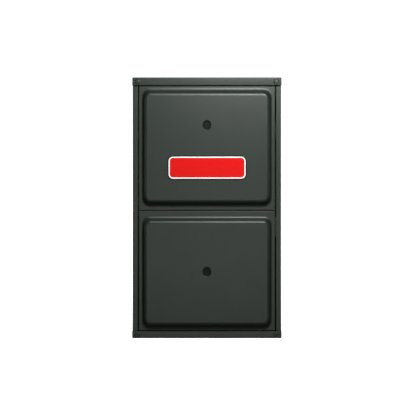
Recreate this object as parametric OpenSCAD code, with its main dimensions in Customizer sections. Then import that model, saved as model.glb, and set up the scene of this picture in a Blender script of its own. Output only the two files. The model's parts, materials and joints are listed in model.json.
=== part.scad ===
// Forced air gas furnace: an upright sheet metal cabinet with two lift-off doors,
// burners and heat exchanger above, blower and controls below.
// Millimetres. The origin is the middle of the footprint, on the floor. +Z is up,
// the doors face -Y, and +X is to the right as seen from the front.

/* [Cabinet] */
// Overall height
total_h = 876.3; // [866:0.1:890]
// Width over the top cap and the base tray
cap_w = 502; // [494:1:512]
// Overall depth, from the nameplate to the back of the caps
total_d = 746; // [740:1:770]
// Height of the front band of the top cap
top_band_h = 25.9; // [21:0.1:27]
// Height of the front band of the base tray
base_band_h = 23.4; // [21:0.1:26]
// Sheet thickness of the top cap and the base tray
cap_sheet = 1.6; // [1.4:0.1:2]
// Sheet thickness of the panels, doors, deck and brackets
sheet = 1.2; // [1:0.1:1.4]
// Bend radius of the caps' edges
cap_bend = 3; // [2.2:0.1:5]
// Width of the cabinet's front flanges
flange_w = 17.8; // [16:0.1:20]
// Height of the top of the blower deck
deck_z = 430; // [429.7:0.1:431]
// Depth of the burner compartment, from the door face to the burner wall
vestibule_d = 186; // [184:1:190]

/* [Doors] */
// Width of both doors
door_w = 458; // [454:1:460]
// Gap above the upper door
door_top_gap = 4.3; // [3:0.1:6]
// Gap below the lower door
door_base_gap = 2.4; // [2:0.1:6]
// Gap between the two doors
door_seam = 3; // [2:0.5:5]
// Height of the middle of the gap between the doors
seam_z = 428.5; // [428:0.5:432]
// Depth of the flange that is folded back round each door
door_return = 16; // [10:1:18]
// How far the raised field stands out of each door
field_depth = 20; // [14:1:24]
// Width of the sloping edge of a raised field, seen from the front
field_run_x = 18.8; // [17:0.2:22]
// Heights of the sloping edge below and above a raised field, seen from the front
field_run_z = [27.5, 25];
// Steepest slope of the raised field's edge, in degrees
field_slope = 66; // [60:1:72]
// Corner radii at the foot of a raised field, across and up
foot_corner = [27, 31];
// Corner radii on top of a raised field, across and up
top_corner = [13, 15];
// Flat margin beside the raised fields
field_side = 9.5; // [8:0.5:12]
// Flat margins below and above the upper door's field
upper_margins = [9.2, 4.7];
// Flat margins below and above the lower door's field
lower_margins = [2.4, 14.4];
// Height of the upper sight port
upper_port_z = 713.8; // [700:0.1:740]
// Height of the lower sight port
lower_port_z = 223.5; // [200:0.1:250]
// Width and height of the dimple round a sight port
port_size = [33, 39];
// Width and height of the hole in the dimple
port_hole = [25, 29];
// Depth of the dimple
port_depth = 4; // [3:0.5:5]

/* [Nameplate] */
// Width of the blank nameplate
plate_w = 257.6; // [250:0.1:270]
// Height of the blank nameplate
plate_h = 74; // [70:0.1:84]
// Middle of the nameplate across and up the door
plate_at = [0.6, 572.2];
// Corner radius of the nameplate
plate_r = 15; // [10:0.5:18]
// Width of the nameplate's light border
plate_border = 4.3; // [4:0.1:9]
// Width of the dark edge round the nameplate's border
plate_edge = 3.6; // [0.5:0.1:5]
// Thickness of the nameplate
plate_t = 2; // [1.5:0.1:2.4]

/* [Fasteners] */
// Head radius of the screws in the cap bands
cap_screw_r = 7.8; // [6:0.1:8.5]
// Head height of the screws in the cap bands
cap_screw_h = 2.2; // [1.5:0.1:3]
// Distance of the cap screws from the middle of the cabinet
cap_screw_x = 233.6; // [232:0.1:238]
// Washer radius of the casing screws
casing_screw_r = 5; // [4:0.1:6]
// Screw shank radius
shank_r = 2.1; // [1.5:0.1:2.4]
// Screw hole radius
screw_hole_r = 2.4; // [2.3:0.1:3]

/* [Air, vent and supply openings] */
// Supply air opening in the top cap: left, right, front, back
supply_open = [-200, 200, -125, 335];
// Return air opening in the base tray: left, right, front, back
return_open = [-200, 200, -250, 330];
// Radius of the hole in the top cap for the vent connector
vent_hole_r = 57; // [54:0.5:62]
// Radius of the gas pipe holes in the side panels
gas_hole_r = 22; // [19:0.5:24]
// Radius of the wiring holes in the side panels
wire_hole_r = 11.1; // [10:0.1:12]

/* [Burners and heat exchanger] */
// Number of burners and heat exchanger tubes
burner_n = 4; // [3:1:4]
// Distance between burners
burner_pitch = 70; // [66:1:70]
// Middle of the first burner
burner_x0 = -160; // [-162:1:-158]
// Height of the burners
burner_z = 697; // [694:1:700]
// Bend radius of the tubes' half turns, centre line
tube_bend = 27.8; // [27.5:0.1:28.1]
// Outer radius of a heat exchanger tube
tube_r = 21; // [19:0.5:22]
// Wall of a heat exchanger tube
tube_wall = 1.2; // [1:0.1:1.5]
// Middle of the gas manifold pipe, front to back
manifold_y = -312; // [-314:1:-310]
// Outer radius of the gas manifold pipe
manifold_r = 10.7; // [9:0.1:11]

/* [Draft inducer] */
// Distance of the inducer's axis from the middle of the cabinet
inducer_x = 95; // [94:1:96]
// Radius of the inducer wheel
inducer_wheel_r = 56; // [50:1:57]
// Inner radius of the volute where it starts and where it ends
inducer_scroll = [64, 95];
// Inner radius of the flue pipe
flue_r = 50; // [48:0.1:50.4]
// Wall of the flue pipe
flue_wall = 0.8; // [0.6:0.1:1]

/* [Blower] */
// Middle of the blower wheel, front to back and up
blower_at = [95, 205];
// Radius of the blower wheel
blower_r = 127; // [120:1:130]
// Width of the blower wheel
blower_w = 230; // [200:2:236]
// Number of blades on each side of the blower wheel
blade_n = 36; // [24:1:40]
// Inner radius of the blower scroll where it starts and where it ends
blower_scroll = [138, 188];
// Half of the blower housing's inner width
housing_hw = 129; // [124:1:134]
// Radius of the motor shaft
shaft_r = 6.35; // [6:0.01:6.5]
// Radius of the blower motor
motor_r = 70; // [60:1:74]

/* [Hidden] */
$fn = 64;
run_fit = 0.05;    // radial clearance of a shaft in its bearing
eps = 1;           // how far a cutter runs past a face

cap_hw = cap_w / 2;
cab_hw = cap_hw - cap_sheet;             // outer half width of the side panels
in_hw = cab_hw - sheet;                  // inner half width of the cabinet
back_y = total_d / 2;
front_y = -total_d / 2;
field_y = front_y + plate_t;             // front of the raised fields
door_y = field_y + field_depth;          // front of the door rims and flanges
cab_back = back_y - cap_sheet;           // back face of the back panel
wall_y = door_y + vestibule_d;           // front face of the burner wall
top_in = total_h - cap_sheet;            // underside of the top cap's plate
band_z = total_h - top_band_h;           // bottom edge of the top cap
panel_z = [cap_bend, total_h - cap_bend]; // the panels end clear of the caps' inner bends
partition_hw = in_hw - 0.3;              // half width of the partitions that reach the top cap
flange_x = cab_hw - flange_w;            // inner edge of the front flanges
deck_front = door_y + 20;
deck_flange = 24;                        // height of the deck's folded edges
wire_pass = [-110, -290];                // hole in the deck for the wires: across, front to back
wire_pass_r = 14;
back_flange = 20;                        // depth of the back panel's side flanges
back_ribs = [160, 320, 560, 720];        // heights of the back panel's ribs
rib_hw = 180;                            // half length of a rib
rib_hh = 6;                              // half height of a rib
rib_d = 3;                               // depth of a rib
door_hw = door_w / 2;
upper_z = [seam_z + door_seam / 2, band_z - door_top_gap];
lower_z = [base_band_h + door_base_gap, seam_z - door_seam / 2];
top_screw_z = total_h - 15.2;
base_screw_z = 10.9;

outlet_z = burner_z - 6 * tube_bend;     // height of the tube outlets and of the inducer's axis
burners = [for (i = [0:burner_n - 1]) burner_x0 + i * burner_pitch];
tube_back = 290;                         // where the rear bends start
tube_front = -70;                        // where the front bend starts
wall_back = wall_y + sheet;
burner_box_x = [-200, 96];
burner_box_z = [burner_z - 35, burner_z + 48];
burner_front = -280;                     // front face of the burner box
rollout_at = [[-125, burner_z + 35], [80, burner_z + 35]];
valve_at = [-190, 590];                  // riser above the valve, and the inlet's height
valve_box = [[-222, -332, 548], [-152, -268, 636]];
valve_inlet_y = -295;
valve_inlet_x = -236;
thread_r = 9.3;                          // bore of the inlet's thread
thread_l = 24;
knob_at = [-172, 605];
knob_r = 12;
stem_r = 3;
collector_x = [-188, 135];
collector_y = wall_y - 30;
inducer_back = collector_y - 2;          // back plate of the inducer housing
inducer_d = 50;                          // inner depth of the volute
inducer_at = [inducer_x, outlet_z];
inducer_front = inducer_back - inducer_d;
inducer_shaft_r = 4;
inducer_eye_r = 26;                      // radius of the inducer's inlet
duct_x = [inducer_x + inducer_scroll[0] * cos(60), inducer_x + inducer_scroll[1]];
flue_at = [(duct_x[0] + duct_x[1]) / 2, inducer_back - inducer_d / 2];
flue_z = [outlet_z + 90, total_h - 8.3];
housing_sheet = 1.2;
blower_cutoff = 75;                      // angle at which the blower scroll starts
line_hole = [-265, 375];                 // line voltage hole: front to back, height
low_hole = [-290, 320];                  // thermostat wire hole
board_y = -246.4;                        // front of the control board
board_t = 1.6;
board_box = [[-75, 165], [75, 290]];
bracket_y = -236.8;
switch_at = [150, 417];                  // door switch plunger: across, height
plunger_r = 3;

paint = "#3c423d";
galvanised = "#b3b7b8";
dark_steel = "#4a4c4e";
black = "#1b1b1c";
white = "#f2f2ee";

// ---- helpers ----

// A box from its low corner to its high corner.
module box(low, high) {
    translate(low) cube(high - low);
}

// Cylinders along each axis, given their middle in the other two directions.
module along_x(at, r, x0, x1) {
    translate([x0, at[0], at[1]]) rotate([0, 90, 0]) cylinder(r = r, h = x1 - x0);
}

module along_y(at, r, y0, y1) {
    translate([at[0], y0, at[1]]) rotate([-90, 0, 0]) cylinder(r = r, h = y1 - y0);
}

module along_z(at, r, z0, z1) {
    translate([at[0], at[1], z0]) cylinder(r = r, h = z1 - z0);
}

// A turned part about an axis along Y: points are [radius, distance behind y0].
module turned_y(at, y0, points) {
    translate([at[0], y0, at[1]]) rotate([-90, 0, 0]) rotate_extrude() polygon(points);
}

// A turned part about an axis along X: points are [radius, distance right of x0].
module turned_x(at, x0, points) {
    translate([x0, at[0], at[1]]) rotate([0, 90, 0]) rotate_extrude() polygon(points);
}

// A rectangle from a0 to a1 with rounded corners at its top or its bottom.
function edge_points(a0, a1, z0, z1, r, top) =
    let (corner = [for (k = [0:6]) r * [1 - cos(k * 15), 1 - sin(k * 15)]],
         left = [for (c = corner) [a0 + c[0], top ? z1 - c[1] : z0 + c[1]]],
         right = [for (k = [6:-1:0]) [a1 - corner[k][0], top ? z1 - corner[k][1] : z0 + corner[k][1]]],
         far = top ? z0 : z1)
    concat([[a0, far]], left, right, [[a1, far]]);

// The outer form of a folded cap or tray, rounded where its plate turns into its bands.
module cap_form(hw, y0, y1, z0, z1, r, top) {
    intersection() {
        translate([0, y1, 0]) rotate([90, 0, 0]) linear_extrude(y1 - y0)
            polygon(edge_points(-hw, hw, z0, z1, r, top));
        translate([-hw, 0, 0]) rotate([90, 0, 90]) linear_extrude(2 * hw)
            polygon(edge_points(y0, y1, z0, z1, r, top));
    }
}

// A low-domed screw with a cross recess, its head facing -Y and under its own origin.
module cap_screw() {
    difference() {
        rotate([-90, 0, 0]) rotate_extrude()
            polygon(concat([for (a = [0:15:75]) [cap_screw_r * sin(a), -cap_screw_h * cos(a)]],
                [[cap_screw_r, 0], [shank_r, 0], [shank_r, 8], [0, 10]]));
        for (a = [45, 135]) rotate([0, a, 0])
            box([-2.6, -cap_screw_h - eps, -0.5], [2.6, -cap_screw_h + 1.1, 0.5]);
    }
}

// A hexagon screw with a washer face, its head facing -Y and under its own origin.
module casing_screw(head_h = 1.5, shank = 3) {
    rotate([90, 0, 0]) {
        cylinder(r = casing_screw_r, h = 0.6);
        cylinder(r = casing_screw_r - 1, h = head_h, $fn = 6);
    }
    rotate([-90, 0, 0]) cylinder(r = shank_r, h = shank);
}

// ---- lofted sheet forms ----

// An outline is [left, right, bottom, top, corner radius across, corner radius up].
corner_steps = 8;
ring_n = 4 * (corner_steps + 1);

function ring(o, y) = [
    for (c = [[1, 1, 0], [0, 1, 90], [0, 0, 180], [1, 0, 270]])
        for (k = [0:corner_steps])
            let (a = c[2] + 90 * k / corner_steps)
            [(c[0] == 1 ? o[1] - o[4] : o[0] + o[4]) + o[4] * cos(a), y,
             (c[1] == 1 ? o[3] - o[5] : o[2] + o[5]) + o[5] * sin(a)]];

function inset(o, d) = o + [d, -d, d, -d, -d, -d];

// Closed sheet through rings, each ring [outline, y], the last ring joined to the first.
module ring_loft(rings) {
    n = len(rings);
    points = [for (r = rings) each ring(r[0], r[1])];
    faces = [for (i = [0:n - 1]) for (k = [0:ring_n - 1])
        let (j = (i + 1) % n, m = (k + 1) % ring_n,
             a = i * ring_n + k, b = i * ring_n + m, c = j * ring_n + m, d = j * ring_n + k)
        each [[a, b, c], [a, c, d]]];
    polyhedron(points, faces);
}

// The raised field's edge: [part of the run, part of the depth, slope], from top to foot.
field_bend = (field_run_x - field_depth / tan(field_slope))
    / (2 * (sin(field_slope) - (1 - cos(field_slope)) / tan(field_slope)));
bend_steps = 4;
field_edge = concat(
    [for (k = [0:bend_steps]) let (a = field_slope * k / bend_steps)
        [1 - field_bend * sin(a) / field_run_x, 1 - field_bend * (1 - cos(a)) / field_depth, a]],
    [for (k = [bend_steps:-1:0]) let (a = field_slope * k / bend_steps)
        [field_bend * sin(a) / field_run_x, field_bend * (1 - cos(a)) / field_depth, a]]);

// An oval outline; the short straights keep its corners apart.
function oval(size, z) = [-size[0] / 2, size[0] / 2, z - size[1] / 2, z + size[1] / 2,
    size[0] / 2 - 0.5, size[1] / 2 - 0.5];

// One door: rim flange, flat margin, raised field and the dimple for its sight port.
module door(z, margins, port_z) {
    edge_r = 3;    // corners of the door
    fold = 2;      // bend of the folded edge
    rim = [-door_hw, door_hw, z[0], z[1], edge_r, edge_r];
    foot = [-door_hw + field_side, door_hw - field_side, z[0] + margins[0], z[1] - margins[1],
        foot_corner[0], foot_corner[1]];
    top = foot + [field_run_x, -field_run_x, field_run_z[0], -field_run_z[1],
        top_corner[0] - foot_corner[0], top_corner[1] - foot_corner[1]];
    fold_ring = [for (a = [0, 45, 90]) [fold * (1 - sin(a)), fold * (1 - cos(a))]];
    front = concat(
        [[oval(port_hole, port_z), field_y + port_depth], [oval(port_size, port_z), field_y]],
        [for (e = field_edge) [foot + (top - foot) * e[0], door_y - field_depth * e[1]]],
        [for (f = fold_ring) [inset(rim, f[0]), door_y + f[1]]],
        [[rim, door_y + door_return]]);
    back = concat(
        [[inset(rim, sheet), door_y + door_return], [inset(rim, sheet), door_y + fold]],
        [[inset(rim, fold), door_y + sheet]],
        [for (i = [len(field_edge) - 1:-1:0]) let (e = field_edge[i])
            [inset(foot + (top - foot) * e[0], sheet * sin(e[2])),
             door_y - field_depth * e[1] + sheet * cos(e[2])]],
        [[oval(port_size, port_z), field_y + sheet],
         [oval(port_hole, port_z), field_y + port_depth + sheet]]);
    ring_loft(concat(front, back));
}

// ---- swept tubes ----

// A smooth curve through the points, with steps between each two of them.
function smooth(p, steps) = concat(
    [for (i = [0:len(p) - 2]) for (k = [0:steps - 1])
        let (a = p[max(i - 1, 0)], b = p[i], c = p[i + 1], d = p[min(i + 2, len(p) - 1)], t = k / steps)
        0.5 * (2 * b + (c - a) * t + (2 * a - 5 * b + 4 * c - d) * t * t
            + (3 * b - a - 3 * c + d) * t * t * t)],
    [p[len(p) - 1]]);

function unit(v) = v / norm(v);

// Directions across a path: each frame is the one before it, turned with the path.
function tangents(p) = [for (i = [0:len(p) - 1])
    unit(p[min(i + 1, len(p) - 1)] - p[max(i - 1, 0)])];
function carried(t, i, n) = i >= len(t) ? [] :
    let (m = unit(n - (n * t[i]) * t[i])) concat([m], carried(t, i + 1, m));

module swept_tube(path, r, sides) {
    t = tangents(path);
    start = abs(t[0][2]) < 0.9 ? [0, 0, 1] : [1, 0, 0];
    across = carried(t, 0, cross(t[0], start));
    points = [for (i = [0:len(path) - 1]) for (k = [0:sides - 1])
        let (a = 360 * k / sides, u = across[i], v = cross(t[i], u))
        path[i] + r * (cos(a) * u + sin(a) * v)];
    last = (len(path) - 1) * sides;
    faces = concat(
        [[for (k = [0:sides - 1]) k]],
        [for (i = [0:len(path) - 2]) for (k = [0:sides - 1])
            let (m = (k + 1) % sides, a = i * sides + k, b = i * sides + m)
            each [[a, a + sides, b + sides], [a, b + sides, b]]],
        [[for (k = [sides - 1:-1:0]) last + k]]);
    polyhedron(points, faces);
}

// ---- cabinet ----

module front_screw_places() {
    for (x = [-cap_screw_x, cap_screw_x]) {
        translate([x, door_y - cap_sheet, top_screw_z]) children();
        translate([x, door_y, base_screw_z]) children();
    }
}

// The folded tray that the cabinet stands on, open for the return air.
module base_tray() color(paint) {
    difference() {
        cap_form(cap_hw, door_y, back_y, 0, base_band_h, cap_bend, false);
        cap_form(cab_hw, door_y + cap_sheet, cab_back, cap_sheet, base_band_h + eps,
            cap_bend - cap_sheet, false);
        box([return_open[0], return_open[2], -eps], [return_open[1], return_open[3], cap_sheet + eps]);
        for (x = [-cap_screw_x, cap_screw_x])
            along_y([x, base_screw_z], screw_hole_r, door_y - eps, door_y + cap_sheet + eps);
    }
}

// The folded top with the hemmed supply air opening and the hole for the vent.
module top_cap() color(paint) {
    hem = 12;
    low = total_h - cap_sheet - hem;
    difference() {
        union() {
            difference() {
                cap_form(cap_hw, door_y - cap_sheet, back_y, band_z, total_h, cap_bend, true);
                cap_form(cab_hw, door_y, cab_back, band_z - eps, top_in, cap_bend - cap_sheet, true);
            }
            box([supply_open[0] - sheet, supply_open[2] - sheet, low],
                [supply_open[1] + sheet, supply_open[3] + sheet, total_h - 0.1]);
        }
        box([supply_open[0], supply_open[2], low - eps],
            [supply_open[1], supply_open[3], total_h + eps]);
        along_z(flue_at, vent_hole_r, top_in - eps, total_h + eps);
        for (x = [-cap_screw_x, cap_screw_x])
            along_y([x, top_screw_z], screw_hole_r, door_y - cap_sheet - eps, door_y + eps);
    }
}

// The right side panel; the left one is its mirror image.
module side_panel() {
    lip = 14;
    tab_y = door_y + cap_sheet;
    difference() {
        union() {
            box([in_hw, tab_y, panel_z[0]], [cab_hw, cab_back, panel_z[1]]);
            box([in_hw, door_y, base_band_h], [cab_hw, tab_y, panel_z[1]]);
            box([flange_x, door_y, base_band_h], [cab_hw, door_y + sheet, panel_z[1]]);
            // the tab behind the base tray's band, set back by the tray's thickness
            box([flange_x, tab_y, panel_z[0]], [in_hw, tab_y + sheet, base_band_h + sheet]);
            box([flange_x, door_y, base_band_h], [in_hw, tab_y + sheet, base_band_h + sheet]);
            box([flange_x, door_y, base_band_h + 4], [flange_x + sheet, door_y + lip, upper_z[1]]);
        }
        along_x([valve_inlet_y, valve_at[1]], gas_hole_r, in_hw - eps, cab_hw + eps);
        along_x(line_hole, wire_hole_r, in_hw - eps, cab_hw + eps);
        along_x(low_hole, wire_hole_r, in_hw - eps, cab_hw + eps);
        along_y([cap_screw_x, top_screw_z], screw_hole_r, door_y - eps, door_y + sheet + eps);
        along_y([cap_screw_x, base_screw_z], screw_hole_r, door_y, tab_y + sheet + eps);
        // the notch that carries the gap above the upper door on to the edge of the cabinet
        box([flange_x - eps, door_y - eps, upper_z[1]], [in_hw, door_y + sheet + eps, band_z]);
        side_screw_holes();
    }
}

// Screws into the back panel's flange and into the deck's flange, on the right side.
module side_screw_places() {
    for (z = [60:150:810]) translate([cab_hw, cab_back - 11, z]) children();
    for (y = [-270:210:150]) translate([cab_hw, y, deck_z - 13]) children();
}

module side_screw_holes() {
    side_screw_places() rotate([0, -90, 0]) translate([0, 0, -eps]) cylinder(r = screw_hole_r, h = 8);
}

// The right side's children, and their mirror image on the left.
module both_sides() {
    children();
    mirror([1, 0, 0]) children();
}

module left_side_panel() color(paint) mirror([1, 0, 0]) side_panel();

module right_side_panel() color(paint) side_panel();

// The back panel, with flanges along the sides and four stiffening ribs.
module back_panel() color(paint) {
    difference() {
        union() {
            box([-in_hw, cab_back - sheet, panel_z[0]], [in_hw, cab_back, panel_z[1]]);
            both_sides() box([in_hw - sheet, cab_back - back_flange, panel_z[0]],
                [in_hw, cab_back, panel_z[1]]);
            for (z = back_ribs)
                box([-rib_hw, cab_back - sheet - rib_d, z - rib_hh],
                    [rib_hw, cab_back - sheet, z + rib_hh]);
        }
        for (z = back_ribs)
            box([-rib_hw + sheet, cab_back - rib_d, z - rib_hh + sheet],
                [rib_hw - sheet, cab_back + eps, z + rib_hh - sheet]);
        both_sides() side_screw_holes();
    }
}

// The rail behind the top of the upper door, which closes the gap above it.
module header_rail() color(paint) {
    y = door_y + door_return + 2;
    low = band_z - 26;
    box([-partition_hw, y, low], [partition_hw, y + sheet, top_in]);
    box([-partition_hw, y, low], [partition_hw, y + 16, low + sheet]);
}

// The floor of the burner compartment, open under the heat exchanger for the blower's air.
module blower_deck() color(galvanised) {
    flange_end = cab_back - back_flange - 1;
    difference() {
        union() {
            box([-in_hw, deck_front, deck_z - sheet], [in_hw, flange_end, deck_z]);
            box([-in_hw + 2 * sheet, flange_end, deck_z - sheet],
                [in_hw - 2 * sheet, cab_back - sheet, deck_z]);
            both_sides() box([in_hw - sheet, deck_front, deck_z - deck_flange],
                [in_hw, flange_end, deck_z]);
            box([-in_hw + sheet, deck_front, deck_z - deck_flange],
                [in_hw - sheet, deck_front + sheet, deck_z]);
        }
        box([-housing_hw + 1, blower_duct[0], deck_z - 5],
            [housing_hw - 1, blower_duct[1], deck_z + eps]);
        along_y(switch_at, plunger_r + 1.5, deck_front - eps, deck_front + sheet + eps);
        along_z(wire_pass, wire_pass_r, deck_z - 5, deck_z + eps);
        both_sides() side_screw_holes();
    }
}

// The wall between the burners and the heat exchanger, with the tubes' inlets and outlets.
module burner_wall() color(galvanised) {
    foot = 14;
    difference() {
        union() {
            box([-partition_hw, wall_y, deck_z], [partition_hw, wall_back, top_in]);
            box([-partition_hw, wall_y - foot, deck_z], [partition_hw, wall_y, deck_z + sheet]);
            box([-partition_hw, wall_back, top_in - sheet], [partition_hw, wall_back + foot, top_in]);
        }
        for (x = burners) for (z = [burner_z, outlet_z])
            along_y([x, z], tube_r - tube_wall, wall_y - eps, wall_back + eps);
        along_y(limit_at, 6, wall_y - eps, wall_back + eps);
    }
}

// Foil-faced insulation on three sides of the heat exchanger.
module heat_section_liner() color("#c9cbc9") {
    t = 10;
    x = in_hw - 2;
    y = [wall_back + 2, cab_back - 12];
    z = [deck_z + 2, top_in - 16];
    difference() {
        box([-x, y[0], z[0]], [x, y[1], z[1]]);
        box([-x + t, y[0] - eps, z[0] - eps], [x - t, y[1] - t, z[1] + eps]);
    }
}

// ---- doors ----

module upper_door() color(paint) door(upper_z, upper_margins, upper_port_z);

module lower_door() color(paint) door(lower_z, lower_margins, lower_port_z);

glass_y = field_y + port_depth + sheet;
glass_t = 3;
glass_grow = 4;                          // how much wider the pane is than the hole
gasket_grow = 9;                         // how much wider the gasket is than the hole

// A flat disc with the given outline, facing -Y.
module loft_disc(o, y0, y1) {
    translate([0, y1, 0]) rotate([90, 0, 0]) linear_extrude(y1 - y0)
        polygon([for (p = ring(o, 0)) [p[0], p[2]]]);
}

// A pane behind the hole of a sight port.
module sight_glass(z) {
    loft_disc(oval(port_hole + [glass_grow, glass_grow], z), glass_y, glass_y + glass_t);
}

module upper_sight_glass() color("#15181a") sight_glass(upper_port_z);

module lower_sight_glass() color("#15181a") sight_glass(lower_port_z);

// The rubber ring that holds a pane.
module sight_gasket(z) {
    difference() {
        loft_disc(oval(port_hole + [gasket_grow, gasket_grow], z), glass_y, glass_y + glass_t);
        loft_disc(oval(port_hole + [glass_grow, glass_grow], z), glass_y - eps, glass_y + glass_t + eps);
    }
}

module upper_sight_gasket() color(black) sight_gasket(upper_port_z);

module lower_sight_gasket() color(black) sight_gasket(lower_port_z);

// A flat plate with rounded corners, facing -Y.
module name_slab(grow, y0, y1) {
    w = plate_w / 2 + grow;
    h = plate_h / 2 + grow;
    r = plate_r + grow;
    translate([plate_at[0], y1, plate_at[1]]) rotate([90, 0, 0]) linear_extrude(y1 - y0)
        union() {
            square([2 * (w - r), 2 * h], center = true);
            square([2 * w, 2 * (h - r)], center = true);
            for (sx = [-1, 1]) for (sz = [-1, 1]) translate([sx * (w - r), sz * (h - r)]) circle(r);
        }
}

// The nameplate: a dark backing, a light border and a red face a little below the border.
module nameplate_base() color(black) name_slab(plate_edge, field_y - plate_t / 2, field_y);

module nameplate_border() color(white) {
    difference() {
        name_slab(0, front_y, field_y - plate_t / 2);
        name_slab(-plate_border, front_y - eps, field_y);
    }
}

module nameplate_face() color("#d8201f")
    name_slab(-plate_border - 0.1, front_y + 0.3, field_y - plate_t / 2);

// ---- fasteners ----

// Four screws in the corners of the two front bands.
module cap_screws() color(paint) front_screw_places() cap_screw();

// The screws along both sides.
module casing_screws() color(galvanised) {
    both_sides() side_screw_places() rotate([0, 0, 90]) casing_screw();
}

// A plug with a flat rim and a hollow spigot, for a hole of radius r in the right side.
module hole_plug(at, r) {
    rim = 4;
    rim_t = 1.4;
    spigot = 6;
    wall = 1.9;
    along_x(at, r + rim, cab_hw, cab_hw + rim_t);
    difference() {
        along_x(at, r - 0.1, cab_hw - spigot, cab_hw + rim_t / 2);
        along_x(at, r - 0.1 - wall, cab_hw - spigot - eps, cab_hw);
    }
}

// Plugs in the gas and wiring holes that are left free.
module hole_plugs() color(black) {
    hole_plug([valve_inlet_y, valve_at[1]], gas_hole_r);
    hole_plug(low_hole, wire_hole_r);
    mirror([1, 0, 0]) hole_plug(line_hole, wire_hole_r);
}

// ---- heat exchanger ----

// Height of a tube's straight leg: 0 is the inlet leg, 3 the outlet leg.
function leg_z(i) = burner_z - 2 * tube_bend * i;

// A straight stretch of tube along Y.
module tube_leg(at, y0, y1) {
    difference() {
        along_y(at, tube_r, y0, y1);
        along_y(at, tube_r - tube_wall, y0 - eps, y1 + eps);
    }
}

// A half turn between two legs, bulging to the back, or to the front when it is turned.
module tube_turn(at, y, turned) {
    translate([at[0], y, at[1]]) rotate([0, 90, 0]) rotate([0, 0, turned ? 180 : 0])
        rotate_extrude(angle = 180) translate([tube_bend, 0]) difference() {
            circle(tube_r);
            circle(tube_r - tube_wall);
        }
}

// Serpentine tubes of four legs each, from the burners down to the collector box.
module exchanger_tubes() color("#9a9c9c") {
    for (x = burners) union() {
        for (i = [0:3]) tube_leg([x, leg_z(i)], i == 0 || i == 3 ? wall_back : tube_front, tube_back);
        for (i = [0:2]) tube_turn([x, leg_z(i) - tube_bend], i == 1 ? tube_front : tube_back, i == 1);
    }
}

// The upright plate that carries the tubes near their rear bends.
module exchanger_support() color(galvanised) {
    y = tube_back - 28;
    x = [burners[0] - 32, burners[burner_n - 1] + 32];
    difference() {
        union() {
            box([x[0], y, deck_z], [x[1], y + sheet, burner_z + 33]);
            box([x[0], y, deck_z], [x[1], y + 18, deck_z + sheet]);
        }
        for (bx = burners) for (i = [0:3])
            along_y([bx, leg_z(i)], tube_r + 0.4, y - eps, y + sheet + eps);
    }
}

// The box that gathers the flue gas from the tubes and leads it to the inducer.
module collector_box() color(dark_steel) {
    z = [outlet_z - 28, outlet_z + 28];
    t = 1.5;
    difference() {
        box([collector_x[0], collector_y, z[0]], [collector_x[1], wall_y, z[1]]);
        box([collector_x[0] + t, collector_y + t, z[0] + t],
            [collector_x[1] - t, wall_y + eps, z[1] - t]);
        along_y(inducer_at, inducer_eye_r, collector_y - eps, collector_y + t + eps);
    }
}

// ---- burners and gas train ----

// The box round the burners, with a hole for each of them and a peep slot.
module burner_box() color(galvanised) {
    low = [burner_box_x[0], burner_front, burner_box_z[0]];
    high = [burner_box_x[1], wall_y, burner_box_z[1]];
    t = [sheet, sheet, sheet];
    difference() {
        box(low, high);
        box(low + t, high + [-sheet, eps, -sheet]);
        for (x = burners) along_y([x, burner_z], 17, burner_front - eps, burner_front + 2);
        for (r = rollout_at) along_y(r, 5, burner_front - eps, burner_front + 2);
        box([2, burner_front - eps, burner_z + 24], [30, burner_front + 2, burner_z + 38]);
    }
}

// Venturi burners: a flared mouth, a mounting flange, a throat and a wide flame end,
// with carryover wings beside the flame ends.
module inshot_burners() color("#8d9194") {
    y = burner_front - 11;
    profile = [[13.5, 0], [15, 0], [10.2, 9.8], [20, 9.8], [20, 11], [10.2, 11], [10.2, 22],
        [16, 58], [16, 82], [14.5, 82], [14.5, 58.5], [8.7, 22.5], [8.7, 9]];
    for (x = burners) {
        turned_y([x, burner_z], y, profile);
        for (s = [-1, 1])
            box([x + s * 24.5 - 9.5, y + 76, burner_z - 1.5],
                [x + s * 24.5 + 9.5, y + 81.5, burner_z + 1.5]);
    }
}

// The pipe from the gas valve along the burners, with a boss for each orifice and two brackets.
module gas_manifold() color("#2f3133") {
    bend = 22;
    top = burner_z - bend;
    x0 = valve_at[0];
    x1 = burners[burner_n - 1] + 30;
    difference() {
        union() {
            along_z([x0, manifold_y], manifold_r, valve_box[1][2] - 8, top);
            translate([x0 + bend, manifold_y, top]) rotate([90, 0, 0]) rotate([0, 0, 90])
                rotate_extrude(angle = 90) translate([bend, 0]) circle(manifold_r);
            along_x([manifold_y, burner_z], manifold_r, x0 + bend, x1);
            along_x([manifold_y, burner_z], manifold_r + 2, x1 - 14, x1 + 4);
            for (x = burners) along_y([x, burner_z], 8, manifold_y, manifold_y + 13);
            for (x = [burners[1] + burner_pitch / 2, x1 + 5])
                box([x - 1.5, manifold_y - 4, burner_z - 14], [x + 1.5, burner_front, burner_z + 14]);
        }
        along_z([x0, manifold_y], manifold_r - 2.8, valve_box[1][2] - 9, top - 10);
    }
}

// A hexagon orifice in each boss of the manifold.
module burner_orifices() color("#b5893b") {
    y = manifold_y + 13;
    for (x = burners) {
        translate([x, y, burner_z]) rotate([-90, 0, 0]) cylinder(r = 6.5, h = 5, $fn = 6);
        turned_y([x, burner_z], y + 5, [[0, 0], [4.2, 0], [4.2, 3], [2.4, 5], [0, 5]]);
    }
}

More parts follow.
